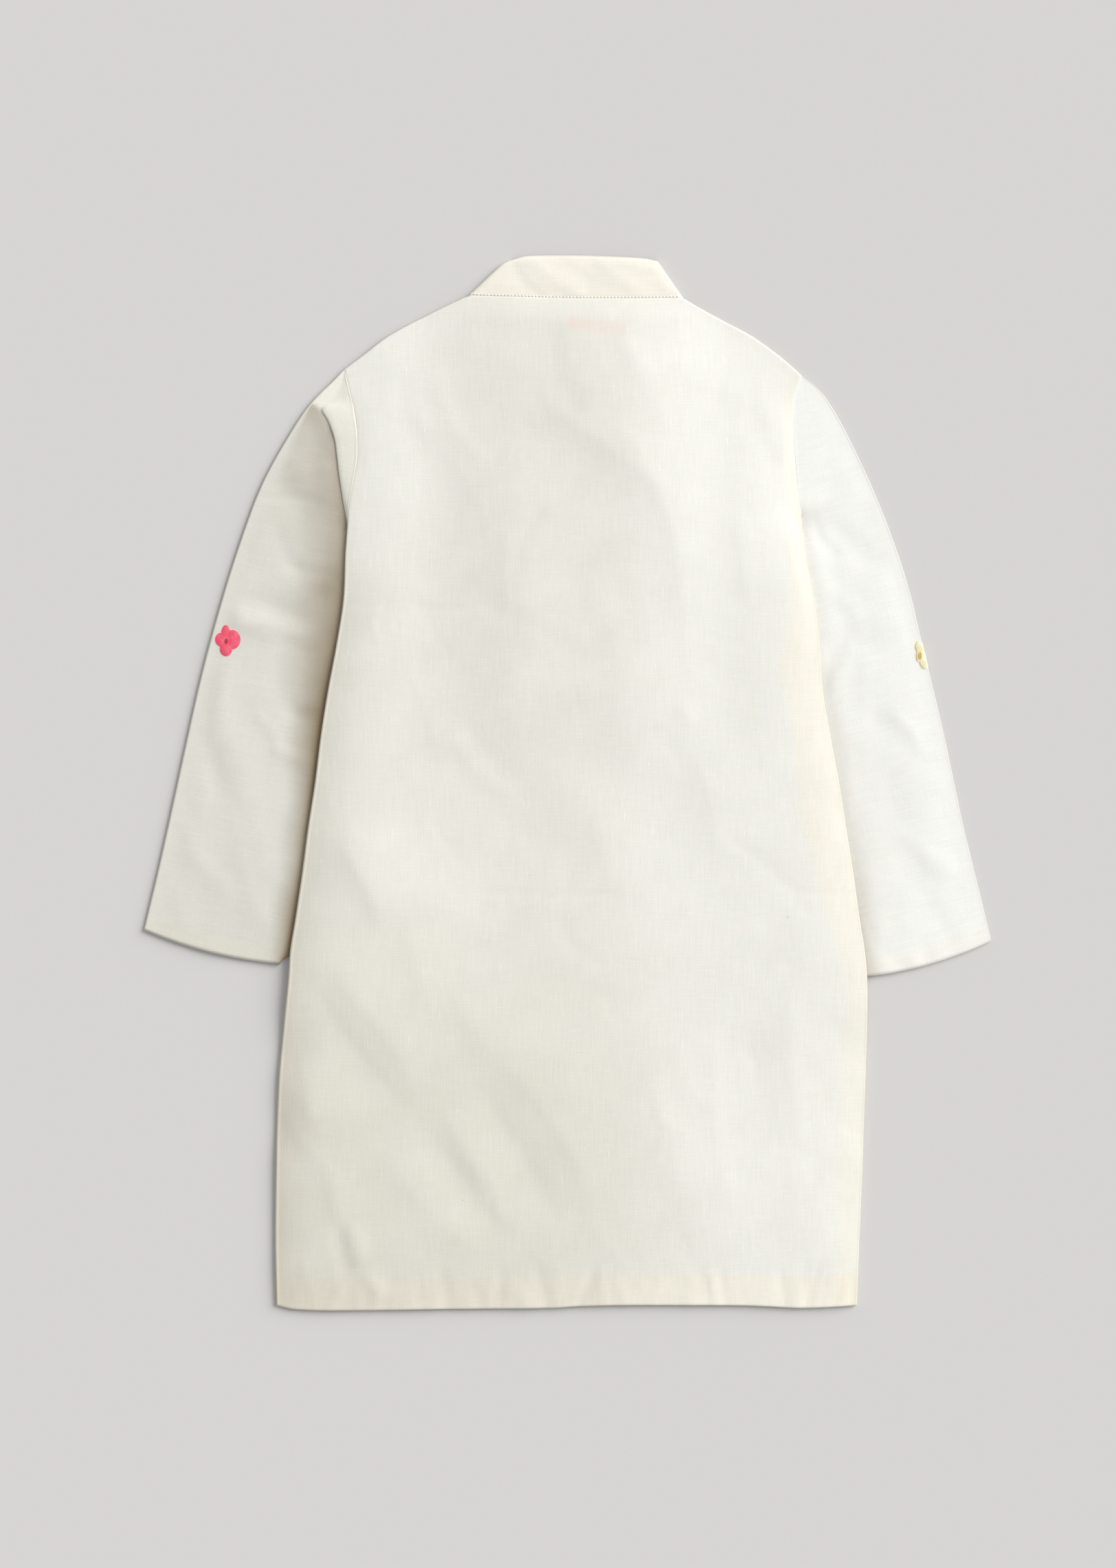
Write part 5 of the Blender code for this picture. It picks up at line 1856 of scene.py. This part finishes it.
@functools.cache
def weave_group():
    """Plain weave of uneven yarn: gives a colour and a height from a place on the cloth."""
    group = bpy.data.node_groups.new("Slub weave", "ShaderNodeTree")
    for name, kind in (("Place", "Vector"), ("Tone", "Color"), ("Depth tone", "Color"), ("Depth", "Float")):
        group.interface.new_socket(name, in_out="INPUT", socket_type="NodeSocket" + kind)
    for name, kind in (("Color", "Color"), ("Height", "Float")):
        group.interface.new_socket(name, in_out="OUTPUT", socket_type="NodeSocket" + kind)
    t = Tree(group)
    given = t.add("NodeGroupInput").outputs
    in_mm = t.vector("SCALE", given["Place"], scale=1 / MM)

    drift = t.add("ShaderNodeTexNoise", {"Vector": in_mm, "Scale": 0.35, "Detail": 1.0}).outputs[1]
    drift = t.vector("SCALE", t.vector("SUBTRACT", drift, (0.5, 0.5, 0.5)), scale=YARN_DRIFT)
    placed_yarn = t.split(t.vector("ADD", in_mm, drift))
    warp, weft = (t.math("SINE", t.math("MULTIPLY", placed_yarn[k], math.pi / THREAD_PITCH)) for k in (0, 1))
    over = t.math("MULTIPLY_ADD", t.math("MULTIPLY", warp, weft), 1.5, 0.5, clamp=True)
    warp_up = t.math("MULTIPLY", t.math("ABSOLUTE", warp), over)
    weft_up = t.math("MULTIPLY", t.math("ABSOLUTE", weft), t.math("SUBTRACT", 1.0, over))
    yarn = {"weave": t.math("MAXIMUM", warp_up, weft_up)}
    for name, (x, y, z, detail, roughness) in YARN.items():
        yarn[name] = t.noise(t.stretch(in_mm, x, y, z), detail, roughness)
    for name, ends in SLUB_SPAN.items():
        yarn[name] = t.span(yarn[name], *ends)
    light = t.sum(1.0 - sum(YARN_LIGHT.values()) / 2 - WEAVE_LIGHT * WEAVE_MEAN, yarn,
                  {**YARN_LIGHT, **SLUB_LIGHT, "weave": WEAVE_LIGHT})

    tone = given["Tone"]
    for tint, low, high, strength in CLOUD_TINTS:
        cloud = t.span(yarn["patch"], low, high, 0.0, strength)
        tone = t.blend(cloud, tone, t.blend(1.0, tone, tint, "MULTIPLY"))
    # Painted shade: the tone goes towards the depth tone as far as the shade mask says
    tone = t.blend(given["Depth"], tone, given["Depth tone"])
    lit = t.vector("SCALE", tone, scale=light)
    spots = {"Vector": t.stretch(in_mm, 0.030, 0.024), "Scale": 1.0}
    from_spot = t.add("ShaderNodeTexVoronoi", spots).outputs["Distance"]
    colour = t.blend(t.span(from_spot, 0.006, 0.012, 0.7, 0.0), lit, FLECK_BROWN)
    t.add("NodeGroupOutput", {"Color": colour, "Height": t.sum(0.0, yarn, YARN_HEIGHT)})
    return group


def cloth_material(name, tone, doubled_tone=None, painted_shade_tone=BODY_PAINTED_SHADE, hem=0.0, label=False, across=False):
    """Cotton and linen cloth with its two-layer bands and painted rim shade, its painted shade tone and its
    weave.
    """
    material, t, shader = new_finish(name)
    grain = t.add("ShaderNodeUVMap", uv_map="grain").outputs[0]
    if across:
        turned = t.split(grain)
        grain = t.add("ShaderNodeCombineXYZ", {0: turned[1], 1: turned[0]}).outputs[0]
    cloth_tone = t.blend(t.mask("doubled"), tone, doubled_tone or tone)
    if hem:
        from_hem = t.split(t.add("ShaderNodeUVMap", uv_map="edges").outputs[0])[1]
        strength = HEM_STRENGTH["sleeve" if across else "body"]
        band = t.span(from_hem, (hem - HEM_BLUR[0]) * MM, (hem + HEM_BLUR[1]) * MM, strength, 0.0)
        cloth_tone = t.blend(band, cloth_tone, t.blend(1.0, cloth_tone, HEM_TINT, "MULTIPLY"))
    woven = t.add("ShaderNodeGroup", node_tree=weave_group())
    t.fill(woven, {"Place": grain, "Tone": cloth_tone, "Depth tone": painted_shade_tone, "Depth": t.mask("shade")})
    colour = woven.outputs["Color"]
    if label:
        colour = t.blend(t.math("MULTIPLY", t.mask("label"), LABEL_SHOWS), colour, LABEL_PINK)
    bump = t.add("ShaderNodeBump", {"Strength": 0.4, "Distance": YARN_DEPTH,
                                    "Height": woven.outputs["Height"]})
    t.fill(shader, {"Base Color": colour, "Normal": bump.outputs[0], "Roughness": 0.9,
                    "Specular IOR Level": 0.25, "Sheen Weight": 0.12, "Sheen Roughness": 0.5})
    return material


@functools.cache
def thread_material(name, colour, deep=None):
    """Twisted thread with a soft shine."""
    material, t, shader = new_finish(name)
    place = t.add("ShaderNodeTexCoord").outputs["Object"]
    speck = t.noise(t.stretch(place, 900.0, 900.0), 2.0)
    cloud = t.noise(t.stretch(place, 260.0, 260.0), 1.0)
    darker = deep or tuple(value * 0.86 for value in colour)
    lighter = tuple(min(value * 1.12, 1.0) for value in colour)
    tone = t.blend(t.span(cloud, 0.35, 0.68), darker, colour)
    tone = t.blend(t.span(speck, 0.55, 0.75, 0.0, 0.35), tone, lighter)
    bump = t.add("ShaderNodeBump", {"Strength": 0.3, "Distance": THREAD_DEPTH, "Height": speck})
    t.fill(shader, {"Base Color": tone, "Normal": bump.outputs[0], "Roughness": 0.55, "Sheen Weight": 0.2})
    return material


@functools.cache
def shell_material():
    """Cloudy off-white shell with a soft polish."""
    material, t, shader = new_finish("button shell finish")
    place = t.add("ShaderNodeTexCoord").outputs["Object"]
    cloud = t.noise(t.stretch(place, 420.0, 180.0), 3.0)
    t.fill(shader, {"Base Color": t.blend(t.span(cloud, 0.35, 0.65), SHELL_DEEP, SHELL),
                    "Roughness": t.span(cloud, 0.3, 0.7, 0.22, 0.36), "Coat Weight": 0.3})
    return material


def floor_material():
    material, t, shader = new_finish("studio floor")
    t.fill(shader, {"Base Color": FLOOR, "Roughness": 1.0, "Specular IOR Level": 0.0})
    return material


# Studio: what the picture shows, its lens, and the light

PICTURE_CENTRE = (-6.3, -0.9)
PICTURE_HEIGHT = 1026.9
LENS = 85.0
SENSOR = 36.0
SUN_FROM = (0.80, 0.46, 0.47)
SUN_STRENGTH = 3.9
SUN_SPREAD = 46.0
SKY_STRENGTH = 0.52
FLOOR_SIZE = 12.0
FLOOR_DROP = 0.15
FAR_END = 50.0


def studio():
    """Camera straight above, one soft light from the right, pale room light and a pale floor."""
    scene = bpy.context.scene
    scene.view_settings.view_transform = "Standard"
    camera = placed("camera", bpy.data.cameras.new("camera"))
    camera.data.lens = LENS
    camera.data.sensor_width = SENSOR
    camera.data.clip_end = FAR_END
    distance = PICTURE_HEIGHT * MM * LENS / SENSOR
    camera.location = (PICTURE_CENTRE[0] * MM, PICTURE_CENTRE[1] * MM, distance)
    scene.camera = camera

    sun = placed("soft window", bpy.data.lights.new("soft window", "SUN"))
    sun.data.energy = SUN_STRENGTH
    sun.data.angle = math.radians(SUN_SPREAD)
    sun.rotation_mode = "QUATERNION"
    sun.rotation_quaternion = Vector(SUN_FROM).to_track_quat("Z", "Y")

    world = bpy.data.worlds.new("pale room")
    scene.world = world
    world.use_nodes = True
    t = Tree(world.node_tree)
    t.fill(world.node_tree.nodes["Background"], {"Color": ROOM_LIGHT, "Strength": SKY_STRENGTH})

    shape = bmesh.new()
    bmesh.ops.create_grid(shape, x_segments=2, y_segments=2, size=FLOOR_SIZE / 2)
    floor = placed("floor", mesh_of(shape, "floor"))
    floor.location.z = -FLOOR_DROP * MM
    floor.data.materials.append(floor_material())


def make_sewing(collar, placket):
    """Rows of stitches along the collar's seam and round the placket; the hems are sewn blind."""
    neck = shifted(collar_seam(back_neck(NECK_STEPS)), STITCH_ROW)
    stitched("collar_stitches", neck, surface_height(collar), STITCH_SINK["collar"])
    under = surface_height(placket)
    half = PLACKET_WIDTH / 2 - PLACKET_ROW_INSET
    top, foot = PLACKET_TOP - PLACKET_ROW_INSET, PLACKET_TOP - PLACKET_LENGTH + PLACKET_FOOT_INSET
    box = foot + PLACKET_BOX
    rows = (((-half, top), (-half, foot)), ((half, top), (half, foot)),
            ((-half, foot), (half, foot)), ((-half, box), (half, box)))
    for number, ends in enumerate(rows, 1):
        line = np.array(ends) + (NECK_CENTRE, 0)
        stitched(f"placket_stitches_{number}", line, under, STITCH_SINK["placket"], top=False)


# Where the threads that turn round the right sleeve's fold leave its upper side and reach its lower one
FOLD_INSET = 0.25
FOLD_LEAVES = 0.3
FOLD_REACHES = 1.2
LEAST_HEIGHT = 0.1


def make_flowers(sleeves):
    """The rose on the left sleeve, and the straw one that turns round the right sleeve's fold."""
    left, right = (surface_height(sleeves[side]) for side in SIDE_NAMES)
    fold = line_of(SLEEVE_EDGE, "right")[::-1]

    def on_left(x, y, swell):
        z = left(x, y)
        return None if z is None else Vector((x, y, z + swell)) * MM

    def round_fold(x, y, swell):
        edge = float(np.interp(y, fold[:, 1], fold[:, 0])) - FOLD_INSET
        if x <= edge - FOLD_LEAVES:
            z = right(x, y)
            return None if z is None else Vector((x, y, z + swell)) * MM
        if x <= edge + FOLD_REACHES:
            return Vector((edge + 0.1 + 0.5 * swell, y, (LOW + HIGH) / 2)) * MM
        back_x = 2 * edge - x
        z = right(back_x, y, False)
        return None if z is None else Vector((back_x, y, max(z - 0.2 * swell, LEAST_HEIGHT))) * MM

    rose = thread_material("rose thread", THREAD_ROSE, THREAD_ROSE_DEEP)
    deep = thread_material("rose heart thread", THREAD_ROSE_HEART)
    straw = thread_material("straw thread", THREAD_STRAW, THREAD_STRAW_DEEP)
    gold = thread_material("gold thread", THREAD_GOLD)
    thread_object("rose_flower", petal_threads(ROSE_CENTRE, ROSE_PETALS, on_left), ROSE_RADIUS, rose)
    thread_object("rose_heart", heart_threads(ROSE_CENTRE, ROSE_HEART, on_left), FINE_RADIUS, deep)
    thread_object("straw_flower", petal_threads(STRAW_CENTRE, STRAW_PETALS, round_fold), FINE_RADIUS, straw)
    thread_object("straw_heart", heart_threads(STRAW_CENTRE, STRAW_HEART, round_fold), FINE_RADIUS, gold)


studio()
make_back()
make_front()
sleeves = {side: make_sleeve(side) for side in SIDE_NAMES}
collar = make_collar()
placket = make_strip("placket_over", PLACKET_WIDTH - 2 * GAP, -GAP, PLACKET_LENGTH - 2 * GAP, 0.0)
make_strip("placket_under", UNDER_STRIP_WIDTH, -UNDER_STRIP_INSET, UNDER_STRIP_LENGTH, LAYER)
make_label()
for number in range(1, BUTTONS + 1):
    make_button(number)
make_sewing(collar, placket)
make_flowers(sleeves)
